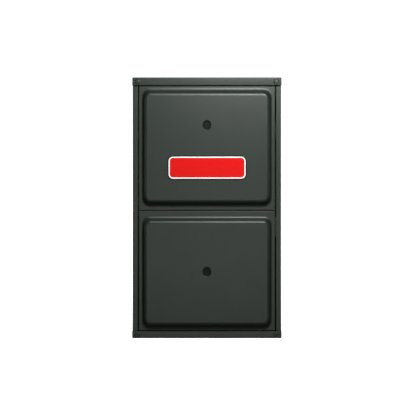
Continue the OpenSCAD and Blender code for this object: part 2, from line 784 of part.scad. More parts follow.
// The gas valve, with its threaded inlet on the left and its outlet on top.
module gas_valve() color("#8f9496") {
    low = valve_box[0];
    high = valve_box[1];
    difference() {
        union() {
            box(low, high);
            box([low[0] + 6, low[1] - 10, low[2] + 8], [low[0] + 36, low[1], low[2] + 40]);
            box([low[0] + 8, low[1] + 6, low[2] - 10], [high[0] - 8, high[1] - 6, low[2]]);
            along_x([valve_inlet_y, valve_at[1]], 17, valve_inlet_x, low[0]);
            along_z([valve_at[0], manifold_y], 15, high[2], high[2] + 6);
            along_y([low[0] + 20, high[2] - 18], 10, low[1] - 8, low[1]);
        }
        along_x([valve_inlet_y, valve_at[1]], thread_r, valve_inlet_x - eps, valve_inlet_x + thread_l);
        along_z([valve_at[0], manifold_y], manifold_r, high[2] - 8, high[2] + 7);
        along_y(knob_at, stem_r + run_fit, low[1] - eps, low[1] + 10);
    }
}

// The on and off knob: a stem, a fluted disc and a raised grip with a bar across it.
module gas_valve_knob() color(black) {
    face = valve_box[0][1] - 0.4;
    difference() {
        union() {
            along_y(knob_at, stem_r, face - 2, face + 9);
            turned_y(knob_at, face - 5, [[0, 0], [knob_r, 0], [knob_r, 5], [0, 5]]);
            turned_y(knob_at, face - 14,
                [[0, 0], [knob_r - 4, 0], [knob_r - 3, 1], [knob_r - 3, 9.5], [0, 9.5]]);
            box([knob_at[0] - 2.2, face - 15, knob_at[1] - knob_r + 1],
                [knob_at[0] + 2.2, face - 4.5, knob_at[1] + knob_r - 1]);
        }
        for (a = [0:30:330])
            along_y(knob_at + (knob_r + 0.6) * [cos(a), sin(a)], 1.3, face - 6.5, face + 1.5);
    }
}

// The hot surface igniter's ceramic body beside the last burner, with its element.
module igniter() color("#e6e1d5") {
    x = burners[burner_n - 1];
    z = burner_z - 26;
    difference() {
        union() {
            box([x - 5, burner_front - 24, z - 6], [x + 9, burner_front, z + 2]);
            along_x([burner_front - 12, z - 2], 3, x + 9, x + 22);
        }
        box([x - 1, burner_front - 25, z - 3], [x + 5, burner_front - 18, z]);
    }
}

// The flame sensor's rod and its bracket below the first burner.
module flame_sensor() color("#dfe0de") {
    x = burners[0];
    z = burner_z - 27;
    along_y([x, z], 4, burner_front - 22, burner_front);
    along_y([x, z], 1.5, burner_front - 30, burner_front - 22);
    box([x - 12, burner_front - 1.2, z - 6], [x + 12, burner_front, z + 5]);
}

// ---- draft inducer ----

// Points of a spiral that grows counterclockwise from angle a0 to a full turn.
function spiral(at, r, a0, grow, steps) = [for (k = [0:steps])
    let (a = a0 + (360 - a0) * k / steps, q = r[0] + (r[1] - r[0]) * k / steps + grow)
    [at[0] + q * cos(a), at[1] + q * sin(a)]];

// Outline of a scroll with its duct: s is the spiral, duct the duct's two sides, top its end.
function scroll_outline(s, duct, top, grow) = concat(
    [[duct[0] - grow, top], [duct[0] - grow, s[0][1]]],
    [for (i = [1:len(s) - 1]) s[i]], [[duct[1] + grow, top]]);

inducer_steps = 40;
duct_top = flue_z[0] - 2;
tap_at = inducer_at + [-34, 40];         // hose tap on the volute
tap_l = 10;

function inducer_outline(grow) = scroll_outline(
    spiral(inducer_at, inducer_scroll, 60, grow, inducer_steps), duct_x, duct_top, grow);

// A slab with the outline of the volute and its duct, up to the flue pipe.
module inducer_slab(grow, y0, y1) {
    translate([0, y1, 0]) rotate([90, 0, 0]) linear_extrude(y1 - y0) polygon(inducer_outline(grow));
}

// The draft inducer's volute, with a flange under the flue pipe and a tap for the hose.
module inducer_housing() color("#2c2e30") {
    wall = 2;
    difference() {
        union() {
            inducer_slab(wall, inducer_front - wall, inducer_back + wall);
            flue_flange(duct_top, flue_z[0]);
            along_y(tap_at, 3, inducer_front - tap_l, inducer_front);
        }
        inducer_slab(0, inducer_front, inducer_back);
        box([duct_x[0], inducer_front, duct_top - eps], [duct_x[1], inducer_back, flue_z[0] + eps]);
        along_y(inducer_at, inducer_eye_r, inducer_back - eps, inducer_back + 3);
        along_y(inducer_at, inducer_shaft_r + 1, inducer_front - 3, inducer_front + eps);
        along_y(tap_at, 1.5, inducer_front - tap_l - eps, inducer_front + eps);
    }
}

// The inducer's wheel: a back disc with its hub, a rim ring and slanted blades between them.
module inducer_wheel() color("#7d8184") {
    y = [inducer_front + 7, inducer_back - 8];
    n = 24;
    disc_t = 1.5;
    difference() {
        union() {
            along_y(inducer_at, inducer_wheel_r, y[0], y[0] + disc_t);
            along_y(inducer_at, 11, y[0], y[0] + 22);
            difference() {
                along_y(inducer_at, inducer_wheel_r, y[1] - disc_t, y[1]);
                along_y(inducer_at, inducer_wheel_r - 18, y[1] - disc_t - eps, y[1] + eps);
            }
            for (k = [0:n - 1])
                translate([inducer_at[0], 0, inducer_at[1]]) rotate([0, 360 * k / n, 0])
                    translate([inducer_wheel_r - 10, 0, 0]) rotate([0, 35, 0])
                        box([-8, y[0] + 0.5, -0.6], [8, y[1] - 0.5, 0.6]);
        }
        along_y(inducer_at, inducer_shaft_r, y[0] - eps, y[0] + 23);
    }
}

inducer_motor_y = [inducer_front - 60, inducer_front - 16];

module inducer_shaft() color("#c9ccce")
    along_y(inducer_at, inducer_shaft_r, inducer_motor_y[0] - 24, inducer_front + 31);

// The inducer's motor: two end shells with the laminations between them, on three studs.
module inducer_motor() color("#3a3c3e") {
    y = inducer_motor_y;
    r = 40;
    difference() {
        union() {
            turned_y(inducer_at, y[0],
                [[0, -4], [14, -4], [16, 0], [r - 3, 0], [r, 3], [r, 14], [r - 4, 14], [r - 4, 30],
                    [r, 30], [r, 41], [r - 3, 44], [16, 44], [14, 48], [0, 48]]);
            for (a = [90, 210, 330])
                along_y(inducer_at + (r - 8) * [cos(a), sin(a)], 4, y[1] - 2, inducer_front - 2);
        }
        along_y(inducer_at, inducer_shaft_r + run_fit, y[0] - 5, y[1] + 5);
    }
}

// The small fan on the front end of the inducer's shaft, which cools its motor.
module inducer_cooling_fan() color(black) {
    y = [inducer_motor_y[0] - 22, inducer_motor_y[0] - 8];
    difference() {
        union() {
            along_y(inducer_at, 9, y[0], y[1]);
            for (k = [0:5])
                translate([inducer_at[0], (y[0] + y[1]) / 2, inducer_at[1]])
                    rotate([0, 60 * k, 0]) rotate([35, 0, 0]) box([7, -0.8, -7], [34, 0.8, 7]);
        }
        along_y(inducer_at, inducer_shaft_r, y[0] - eps, y[1] + eps);
    }
}

// The flange that joins the inducer's duct and the flue pipe.
module flue_flange(z0, z1) {
    box([flue_at[0] - 54.5, flue_at[1] - 54, z0], [flue_at[0] + 54.5, flue_at[1] + 54, z1]);
}

// The flue pipe from the inducer up to the hole in the top cap.
module flue_pipe() color(galvanised) {
    difference() {
        union() {
            flue_flange(flue_z[0], flue_z[0] + 1.5);
            along_z(flue_at, flue_r + flue_wall, flue_z[0], flue_z[1]);
        }
        along_z(flue_at, flue_r, flue_z[0] - eps, flue_z[1] + eps);
    }
}

// ---- safety controls ----

pressure_at = [-70, 615];
limit_at = [-100, 800];

// The pressure switch: a round diaphragm case on a bracket, with a hose barb and two tabs.
module pressure_switch() color("#c8c9c6") {
    profile = [[0, 0], [12, 0], [14, 6], [31, 8], [34, 11], [34, 15], [31, 18], [18, 24], [0, 24]];
    difference() {
        union() {
            box([pressure_at[0] - 26, wall_y - 7, pressure_at[1] - 34],
                [pressure_at[0] + 26, wall_y, pressure_at[1] - 30]);
            box([pressure_at[0] - 26, wall_y - 9, pressure_at[1] - 34],
                [pressure_at[0] + 26, wall_y - 7, pressure_at[1] + 30]);
            turned_y(pressure_at, wall_y - 33, profile);
            along_y(pressure_at + [20, 0], 2.6, wall_y - 42, wall_y - 24);
            for (x = [-6, 4]) box([pressure_at[0] + x, wall_y - 40, pressure_at[1] - 3],
                [pressure_at[0] + x + 1, wall_y - 32, pressure_at[1] + 3]);
        }
        along_y(pressure_at + [20, 0], 1.4, wall_y - 43, wall_y - 30);
    }
}

// The hose's way from the pressure switch to the inducer.
hose_route = [[-50, -222, 615], [-47, -240, 613], [-36, -258, 606], [-12, -272, 594], [18, -279, 582],
    [44, -278, 573], [57, -273, 571]];

module pressure_hose() color("#1e1f20") {
    start = [pressure_at[0] + 20, wall_y - 42, pressure_at[1]];
    tap = [tap_at[0], inducer_front - tap_l, tap_at[1]];
    swept_tube(concat([start], smooth(hose_route, 4), [tap - [0, 8, 0], tap]), 4, 8);
}

// The limit switch: a flange on the burner wall, a body with two tabs and a probe behind.
module limit_switch() color("#b9bbb8") {
    box([limit_at[0] - 26, wall_y - sheet, limit_at[1] - 12],
        [limit_at[0] + 26, wall_y, limit_at[1] + 12]);
    along_y(limit_at, 10, wall_y - 12, wall_y - sheet);
    along_y(limit_at, 3, wall_y - sheet, wall_y + 48);
    for (x = [-8, 5]) box([limit_at[0] + x, wall_y - 20, limit_at[1] - 3],
        [limit_at[0] + x + 1, wall_y - 12, limit_at[1] + 3]);
}

reset_r = 3;

// Two rollout switches on the front of the burner box, each with a bore for its button.
module rollout_switches() color("#2a2a2c") {
    for (r = rollout_at) difference() {
        union() {
            turned_y(r, burner_front - 8,
                [[0, 0], [9, 0], [11, 2], [11, 8], [4.8, 8], [4.8, 9.2], [0, 9.2]]);
            for (s = [-1, 1])
                box([r[0] + s * 7 - 3, burner_front - 14, r[1] - 0.5],
                    [r[0] + s * 7 + 3, burner_front - 7, r[1] + 0.5]);
        }
        along_y(r, reset_r + run_fit, burner_front - 9, burner_front - 1);
    }
}

// The button of a rollout switch.
module reset_button(at) {
    turned_y(at, burner_front - 12,
        [[0, 0], [reset_r - 0.6, 0], [reset_r, 0.8], [reset_r, 9], [0, 9]]);
}

module left_reset_button() color("#b51c1c") reset_button(rollout_at[0]);

module right_reset_button() color("#b51c1c") reset_button(rollout_at[1]);

// ---- blower ----

blower_steps = 48;
blower_duct = [blower_at[0] + blower_scroll[0] * cos(blower_cutoff), blower_at[0] + blower_scroll[1]];
housing_top = deck_z - sheet;
function blower_outline(grow) = scroll_outline(
    spiral(blower_at, blower_scroll, blower_cutoff, grow, blower_steps), blower_duct, housing_top, grow);

// A slab with the outline of the blower's scroll and its duct, up to the deck.
module scroll_slab(grow, x0, x1) {
    translate([x0, 0, 0]) rotate([90, 0, 90]) linear_extrude(x1 - x0) polygon(blower_outline(grow));
}

// The blower's housing: the scroll's sheet between two side plates with the inlets, each hung
// from the deck by a flange.
module blower_housing() color(galvanised) {
    hw = housing_hw;
    t = housing_sheet;
    seam = 0.05;
    inlet_r = 108;
    difference() {
        scroll_slab(t, -hw + seam, hw - seam);
        scroll_slab(0, -hw - eps, hw + eps);
        box([-hw - eps, blower_duct[0], housing_top - 2], [hw + eps, blower_duct[1], housing_top + eps]);
    }
    both_sides() difference() {
        union() {
            scroll_slab(t, hw, hw + t);
            box([hw + t, blower_duct[0] - 20, housing_top - t],
                [hw + t + 16, blower_duct[1] + 10, housing_top]);
        }
        along_x(blower_at, inlet_r, hw - eps, hw + 2 * t);
    }
}

// The double inlet blower wheel: the blades between two rims, a middle disc inside them, and the
// disc's hub.
module blower_wheel() color("#a4a8aa") {
    hw = blower_w / 2;
    blade_in = blower_r - 24;
    disc_r = blade_in - 0.8;
    hub_r = 17;
    rim_t = 2;
    seam = 0.05;
    blade_hw = hw - rim_t - seam;
    both_sides() difference() {
        along_x(blower_at, blower_r, hw - rim_t, hw);
        along_x(blower_at, blower_r - 14, hw - rim_t - eps, hw + eps);
    }
    for (k = [0:blade_n - 1])
        translate([0, blower_at[0], blower_at[1]]) rotate([360 * k / blade_n, 0, 0])
            translate([0, (blower_r + blade_in) / 2 - 2, 0]) rotate([32, 0, 0])
                box([-blade_hw, -12, -0.6], [blade_hw, 12, 0.6]);
    difference() {
        along_x(blower_at, disc_r, -1, 1);
        along_x(blower_at, hub_r + seam, -2, 2);
    }
    difference() {
        along_x(blower_at, hub_r, -18, 26);
        along_x(blower_at, shaft_r, -19, 27);
    }
}

motor_x = [-152, -34];

module blower_shaft() color("#c9ccce") along_x(blower_at, shaft_r, motor_x[0] + 6, 34);

// The blower's motor, in the left inlet.
module blower_motor() color(black) {
    l = motor_x[1] - motor_x[0];
    r = motor_r;
    waist = r - 3;
    difference() {
        turned_x(blower_at, motor_x[0],
            [[0, 0], [r - 8, 0], [r, 8], [r, 34], [waist, 36], [waist, l - 36], [r, l - 34],
                [r, l - 8], [r - 8, l], [20, l], [18, l + 6], [0, l + 6]]);
        along_x(blower_at, shaft_r + run_fit, motor_x[0] + 5, motor_x[1] + 7);
    }
}

// The band round the motor, with three legs to the blower's housing.
module motor_mount() color(galvanised) {
    x = [-housing_hw - housing_sheet - 16, -housing_hw - housing_sheet];
    r = motor_r + 0.2;
    foot = 116;
    difference() {
        union() {
            along_x(blower_at, r + 2.5, x[0], x[1] + 2);
            for (a = [30, 150, 270])
                translate([0, blower_at[0], blower_at[1]]) rotate([a, 0, 0]) {
                    box([x[0] + 4, r, -9], [x[0] + 6.5, foot, 9]);
                    box([x[0] + 4, foot - 2.5, -9], [x[1], foot, 9]);
                    box([x[1] - 2, foot - 2.5, -9], [x[1], foot + 12, 9]);
                }
        }
        along_x(blower_at, r, x[0] - eps, x[1] + 3);
    }
}

// The motor's capacitor, strapped to the right of the blower's housing.
module blower_capacitor() color("#b7babc") {
    x = housing_hw + housing_sheet;
    at = [x + 21, 372];
    difference() {
        union() {
            along_y(at, 19, -10, 56);
            along_y(at, 20.5, 14, 32);
            box([x, 14, at[1] - 32], [x + 2, 32, at[1] + 32]);
            box([x, 14, at[1] - 8], [at[0], 32, at[1] + 8]);
            for (s = [-1, 1])
                box([at[0] + s * 6 - 3, -20, at[1] - 0.5], [at[0] + s * 6 + 3, -10, at[1] + 0.5]);
        }
        for (s = [-1, 1]) along_x([23, at[1] + s * 26], 2.2, x - eps, x + 3);
    }
}

// ---- controls ----

// The plate that hangs from the deck in front of the blower and carries the controls.
module control_bracket() color(galvanised) {
    hw = 120;
    bottom = 140;
    difference() {
        union() {
            box([-hw, bracket_y, bottom], [hw, bracket_y + sheet, housing_top]);
            box([-hw, bracket_y, housing_top - sheet], [hw, bracket_y + 22, housing_top]);
            both_sides() box([hw - sheet, bracket_y, bottom], [hw, bracket_y + 16, housing_top]);
            // the board's four standoffs
            for (x = [-68, 68]) for (z = [172, 283])
                along_y([x, z], 4, board_y + board_t, bracket_y);
        }
        for (x = [-90, 90])
            along_z([x, bracket_y + 12], screw_hole_r, housing_top - 3, housing_top + eps);
    }
}

module control_board() color("#1f5a34") {
    box([board_box[0][0], board_y, board_box[0][1]],
        [board_box[1][0], board_y + board_t, board_box[1][1]]);
}

// A block on the front of the board: size is its width, its depth and its height.
module on_board(x, z, size) {
    box([x - size[0] / 2, board_y - size[1], z - size[2] / 2],
        [x + size[0] / 2, board_y, z + size[2] / 2]);
}

// Relays and two capacitors.
module board_relays() color("#20303c") {
    for (x = [-52, -26, 26, 52]) on_board(x, 272, [20, 16, 20]);
    on_board(-52, 236, [22, 20, 28]);
    on_board(52, 236, [22, 20, 28]);
    for (x = [-16, 16]) along_y([x, 244], 5, board_y - 14, board_y);
}

// The wire sockets, the row of tabs, the fuse and the lamp behind the lower sight port.
module board_connectors() color("#e3dfd2") {
    difference() {
        on_board(0, 176, [96, 13, 12]);
        for (x = [-40:16:40]) along_y([x, 176], 3, board_y - 14, board_y - 9);
    }
    on_board(-50, 202, [34, 12, 11]);
    on_board(46, 202, [44, 10, 9]);
    for (x = [-66:12:66]) box([x - 0.4, board_y - 9, 254], [x + 0.4, board_y, 258]);
    along_y([0, lower_port_z], 3, board_y - 8, board_y);
    on_board(-14, 206, [8, 7, 16]);
}

// The control transformer: its core, its winding and its mounting feet.
module transformer() color("#34363a") {
    x = -66;
    z = 370;
    y = bracket_y - 46;
    difference() {
        union() {
            box([x - 30, y, z - 25], [x + 30, bracket_y - 2, z + 25]);
            box([x - 17, y - 9, z - 18], [x + 17, y, z + 18]);
            box([x - 17, bracket_y - 2, z - 18], [x + 17, bracket_y, z + 18]);
            box([x - 42, bracket_y - 2, z - 25], [x + 42, bracket_y, z + 25]);
        }
        for (s = [-1, 1]) along_y([x + s * 36, z], 2.4, bracket_y - 3, bracket_y + eps);
    }
}

junction_x = [188, in_hw];
junction_y = [-300, -230];
junction_z = [340, 404];
junction_mid = (junction_z[0] + junction_z[1]) / 2;

// The junction box on the right side, open to the front.
module junction_box() color(galvanised) {
    t = [sheet, 0, sheet];
    low = [junction_x[0], junction_y[0], junction_z[0]];
    high = [junction_x[1], junction_y[1], junction_z[1]];
    difference() {
        box(low, high);
        box(low + t - [0, eps, 0], high - t - [0, sheet, 0]);
        along_x(line_hole, wire_hole_r, high[0] - 3, high[0] + eps);
        along_y([junction_x[0] + 16, junction_mid], 7, junction_y[1] - 3, junction_y[1] + eps);
    }
}

// The box's lid, with two screws.
module junction_box_cover() color(galvanised) {
    y = junction_y[0] - sheet;
    box([junction_x[0], y, junction_z[0]], [junction_x[1], junction_y[0], junction_z[1]]);
    for (x = [junction_x[0] + 8, junction_x[1] - 10])
        translate([x, y, junction_mid]) rotate([90, 0, 0]) cylinder(r = 4, h = 1.8, $fn = 6);
}

switch_front = deck_front + sheet;

// The switch that stops the furnace when the lower door is off, behind the deck's front edge.
module door_switch() color(black) {
    depth = 26;
    tab = 8;
    difference() {
        union() {
            box([switch_at[0] - 12, switch_front, deck_z - sheet - 24],
                [switch_at[0] + 12, switch_front + depth, deck_z - sheet]);
            for (x = [-6, 5])
                box([switch_at[0] + x, switch_front + depth, switch_at[1] - 4],
                    [switch_at[0] + x + 1, switch_front + depth + tab, switch_at[1] + 4]);
        }
        along_y(switch_at, plunger_r + run_fit, switch_front - eps, switch_front + 22);
    }
}

// It reaches from the switch to the back of the lower door's rim.
module door_switch_plunger() color("#c33") {
    length = 36;
    tip_r = 1.8;
    turned_y(switch_at, door_y + sheet + 0.3, [[0, 0], [tip_r, 0],
        [plunger_r, plunger_r - tip_r], [plunger_r, length], [0, length]]);
}

// ---- wiring ----

// Each route runs from a relay or the transformer to what it feeds.
wire_routes = [
    // gas valve
    [[-52, -258, 283.2], [-54, -264, 300], [-84, -290, 322], [-106, -296, 350], [-109, -294, 400],
     [-110, -290, 430], [-112, -290, 500], [-120, -296, 560], [-140, -300, 586], [-151.8, -300, 590]],
    // pressure switch
    [[-26, -258, 283.2], [-30, -268, 302], [-80, -300, 326], [-101, -302, 356], [-103, -298, 400],
     [-105, -290, 430], [-100, -270, 500], [-84, -228, 570], [-75.5, -202, 609.8]],
    // inducer motor
    [[-26, -250, 283.2], [-32, -262, 310], [-78, -304, 330], [-104, -309, 352], [-112, -305, 400],
     [-115, -294, 430], [-96, -290, 462], [-20, -284, 474], [30, -288, 494], [53.4, -290, 521]],
    // door switch
    [[26, -258, 283.2], [30, -268, 300], [80, -296, 350], [130, -298, 388], [144.5, -299, 410.8]],
    // junction box
    [[52, -258, 283.2], [60, -266, 298], [100, -264, 304], [150, -240, 330], [190, -214, 358],
     [203, -216, 371], [204, -231, 372]],
    // transformer
    [[-66, -262, 342.9], [-66, -266, 326], [-60, -262, 304], [-56, -250, 285]],
    // blower motor
    [[-65.2, -256, 236], [-84, -258, 236], [-130, -242, 232], [-172, -120, 240], [-182, 20, 244],
     [-178, 80, 242], [-168, 104, 240], [-154.2, 110, 240]]];

module wiring_harness() color("#6d2f2c") {
    wire_r = 2;
    for (route = wire_routes) swept_tube(smooth(route, 4), wire_r, 6);
}

base_tray();
top_cap();
left_side_panel();
right_side_panel();
back_panel();
header_rail();
blower_deck();
burner_wall();
heat_section_liner();
upper_door();
lower_door();
upper_sight_glass();
lower_sight_glass();
upper_sight_gasket();
lower_sight_gasket();
nameplate_base();
nameplate_border();
nameplate_face();
cap_screws();
casing_screws();
hole_plugs();
exchanger_tubes();
exchanger_support();
collector_box();
burner_box();
inshot_burners();
gas_manifold();
burner_orifices();
gas_valve();
gas_valve_knob();
igniter();
flame_sensor();
inducer_housing();
inducer_wheel();
inducer_shaft();
inducer_motor();
inducer_cooling_fan();
flue_pipe();
pressure_switch();
pressure_hose();
limit_switch();
rollout_switches();
left_reset_button();
right_reset_button();
blower_housing();
blower_wheel();
blower_shaft();
blower_motor();
motor_mount();
blower_capacitor();
control_bracket();
control_board();
board_relays();
board_connectors();
transformer();
junction_box();
junction_box_cover();
door_switch();
door_switch_plunger();
wiring_harness();
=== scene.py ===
import json
import math

import bmesh
import bpy
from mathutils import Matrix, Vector
from mathutils.geometry import delaunay_2d_cdt


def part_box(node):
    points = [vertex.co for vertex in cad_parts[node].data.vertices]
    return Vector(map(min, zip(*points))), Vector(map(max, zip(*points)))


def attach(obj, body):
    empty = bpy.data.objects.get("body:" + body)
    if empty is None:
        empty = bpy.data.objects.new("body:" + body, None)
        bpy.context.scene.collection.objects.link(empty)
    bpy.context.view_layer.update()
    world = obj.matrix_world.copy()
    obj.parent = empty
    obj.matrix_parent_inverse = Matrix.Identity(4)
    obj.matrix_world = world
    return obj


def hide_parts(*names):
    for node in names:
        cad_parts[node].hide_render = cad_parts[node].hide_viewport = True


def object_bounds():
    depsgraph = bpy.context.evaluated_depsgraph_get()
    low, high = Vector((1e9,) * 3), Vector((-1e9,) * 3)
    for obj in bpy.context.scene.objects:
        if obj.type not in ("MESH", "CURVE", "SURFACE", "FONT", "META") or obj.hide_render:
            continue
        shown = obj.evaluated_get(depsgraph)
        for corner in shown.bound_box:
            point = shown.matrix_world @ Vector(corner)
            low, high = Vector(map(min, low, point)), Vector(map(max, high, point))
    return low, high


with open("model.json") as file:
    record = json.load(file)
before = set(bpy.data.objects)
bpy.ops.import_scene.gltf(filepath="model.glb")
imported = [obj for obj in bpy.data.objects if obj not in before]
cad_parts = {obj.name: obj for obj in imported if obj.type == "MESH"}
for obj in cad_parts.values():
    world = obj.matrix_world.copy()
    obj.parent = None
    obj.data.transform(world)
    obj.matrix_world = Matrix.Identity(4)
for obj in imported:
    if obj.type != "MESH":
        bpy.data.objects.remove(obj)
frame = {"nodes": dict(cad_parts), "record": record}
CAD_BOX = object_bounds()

bl_info = {
    "name": "Forced air gas furnace",
    "version": (1, 0, 0),
    "blender": (4, 5, 0),
    "location": "View3D > Sidebar > Furnace",
    "description": "Builds the finished look of an upright forced air gas furnace round its frame",
    "category": "Object",
}

# Places and sizes are in metres. The doors face -Y, +X is to the right and +Z is up.

MM = 0.001
BENT_STEPS = 8                     # faces round one bend of the sheet
SHARP_SHEET = math.radians(32)     # edges of bent sheet that are steeper than this stay sharp
SHARP_BUILT = math.radians(35)     # and those of the screws, the wires and the hose

# ---- what the frame gives ----

UPPER_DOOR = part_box("upper_door")
LOWER_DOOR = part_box("lower_door")
TOP_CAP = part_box("top_cap")
BASE_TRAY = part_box("base_tray")
RIGHT_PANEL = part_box("right_side_panel")
BACK_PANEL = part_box("back_panel")
FLUE_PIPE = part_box("flue_pipe")
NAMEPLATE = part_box("nameplate_border")
NAMEPLATE_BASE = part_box("nameplate_base")
UPPER_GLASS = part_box("upper_sight_glass")
LOWER_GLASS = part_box("lower_sight_glass")
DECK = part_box("blower_deck")
CENTRE = (CAD_BOX[0] + CAD_BOX[1]) / 2


# ---- settings ----


def length(name, about, default):
    """A length, given in millimetres, as a property of a settings group."""
    return bpy.props.FloatProperty(name=name, description=about, default=default * MM, min=0.0,
                                   max=1.0, unit="LENGTH", subtype="DISTANCE", precision=5)


def colour(name, about, default):
    """A linear colour, as a property of a settings group."""
    return bpy.props.FloatVectorProperty(name=name, description=about, default=default, size=3,
                                         min=0.0, max=1.0, subtype="COLOR")


def share(name, about, default):
    """A number from 0 to 1, as a property of a settings group."""
    return bpy.props.FloatProperty(name=name, description=about, default=default, min=0.0, max=1.0,
                                   subtype="FACTOR")


def power(name, about, watts):
    """A light's power in watts, as a property of a settings group."""
    return bpy.props.FloatProperty(name=name, description=about, default=watts, min=0.0,
                                   unit="POWER")


class FurnaceSheetSettings(bpy.types.PropertyGroup):
    """Sizes of the bent sheet metal"""

    cap_sheet: length("Cap sheet", "Thickness of the top cap and the base tray", 1.6)
    sheet: length("Panel sheet", "Thickness of the panels and the doors", 1.2)
    cap_bend: length("Cap bend", "Outer bend radius of the caps' edges", 3.0)
    panel_bend: length("Panel bend", "Outer bend radius of the side panels' front edges", 2.2)
    flange: length("Flange", "Width of the side panels' front flanges", 17.8)
    lip: length("Lip", "Depth of the side panels' inner lips", 14.0)
    hem: length("Hem", "Depth of the hem round the supply air opening", 13.6)
    gas_hole: length("Gas hole", "Radius of the gas pipe holes", 22.0)
    wire_hole: length("Wire hole", "Radius of the wiring holes", 11.1)
    vent_hole: length("Vent hole", "Radius of the vent's hole in the top cap", 57.0)


class FurnaceDoorSettings(bpy.types.PropertyGroup):
    """Sizes of the two doors"""

    field_depth: length("Field depth", "How far a raised field stands out", 20.0)
    field_side: length("Side margin", "Flat margin beside a raised field", 9.5)
    run_x: length("Run across", "Width of a field's sloping edge at the sides", 18.8)
    run_low: length("Run below", "Height of a field's sloping edge below", 27.5)
    run_high: length("Run above", "Height of a field's sloping edge above", 28.5)
    slope: bpy.props.FloatProperty(name="Slope", description="Steepest slope of a field's edge",
                                   default=math.radians(66.0), subtype="ANGLE", unit="ROTATION")
    fold: length("Fold", "Outer bend radius of the doors' folded edges", 2.0)
    corner: length("Corner", "Corner radius of the doors' outline", 3.0)
    port_depth: length("Port depth", "Depth of the dimple round a sight port", 4.0)


class FurnaceNameplateSettings(bpy.types.PropertyGroup):
    """Sizes and colours of the blank nameplate"""

    radius: length("Corner radius", "Corner radius of the nameplate's border", 15.0)
    border: length("Border", "Width of the light border", 4.3)
    edge: length("Edge", "Rounding of the nameplate's edges", 0.35)
    red: colour("Red", "Colour of the nameplate's face", (0.70, 0.0035, 0.0030))
    white: colour("White", "Colour of the nameplate's border", (0.95, 0.95, 0.94))


class FurnacePaintSettings(bpy.types.PropertyGroup):
    """Colours of the cabinet's paint"""

    base: colour("Cabinet paint", "Dark grey paint of the cabinet", (0.0105, 0.0185, 0.0120))
    rough: share("Roughness", "Roughness of the paint", 0.42)
    peel: share("Orange peel", "Strength of the paint's orange peel", 0.80)
    wear: share("Edge wear", "How far the paint is rubbed lighter along its edges", 0.25)


class FurnaceScrewSettings(bpy.types.PropertyGroup):
    """Sizes of the screws"""

    cap_radius: length("Cap screw radius", "Head radius of the screws in the caps' bands", 7.2)
    cap_ring: length("Cap screw ring", "Radius of the thin ring round those heads", 8.9)
    cap_height: length("Cap screw height", "Head height of the screws in the caps' bands", 2.2)
    hex_radius: length("Hexagon radius", "Head radius of the casing screws", 4.0)
    hex_height: length("Hexagon height", "Head height of the casing screws", 1.5)
    washer: length("Washer radius", "Washer radius of the casing screws", 5.0)


class FurnaceStageSettings(bpy.types.PropertyGroup):
    """The camera and the light"""

    lens: bpy.props.FloatProperty(name="Lens", description="Focal length in millimetres",
                                  default=120.0, min=20.0, max=300.0)
    pixel: length("Pixel", "Size of one pixel of the photograph on the doors", 3.357)
    key: power("Key light", "Power of the compact light close to the doors", 16.0)
    low: power("Low light", "Power of the wide light low in front", 7.5)
    overhead: power("Overhead light", "Power of the soft light above the doors", 9.0)
    side: power("Side lights", "Power of each soft light beside the furnace", 60.0)
    back: power("Back lights", "Power of each soft light behind the furnace", 80.0)
    air: share("Air", "Strength of the even light from all round", 0.025)


SETTINGS = {
    "furnace_sheet": FurnaceSheetSettings,
    "furnace_door": FurnaceDoorSettings,
    "furnace_nameplate": FurnaceNameplateSettings,
    "furnace_paint": FurnacePaintSettings,
    "furnace_screws": FurnaceScrewSettings,
    "furnace_stage": FurnaceStageSettings,
}


# ---- node trees ----


class Graph:
    """Short calls for adding nodes and links to a node tree."""

    def __init__(self, tree):
        self.tree = tree

    def add(self, kind, inputs=None, **settings):
        """A new node, with its settings and with values or links for its inputs."""
        node = self.tree.nodes.new(kind)
        for key, value in settings.items():
            setattr(node, key, value)
        for key, value in (inputs or {}).items():
            self.put(node.inputs[key], value)
        return node

    def put(self, socket, value):
        """Links value to the socket if it is an output, and else sets it."""
        if isinstance(value, bpy.types.NodeSocket):
            self.tree.links.new(value, socket)
        else:
            socket.default_value = value

    def maths(self, operation, *values):
        """The result of one step of arithmetic."""
        node = self.tree.nodes.new("ShaderNodeMath")
        node.operation = operation
        for socket, value in zip(node.inputs, values):
            self.put(socket, value)
        return node.outputs[0]


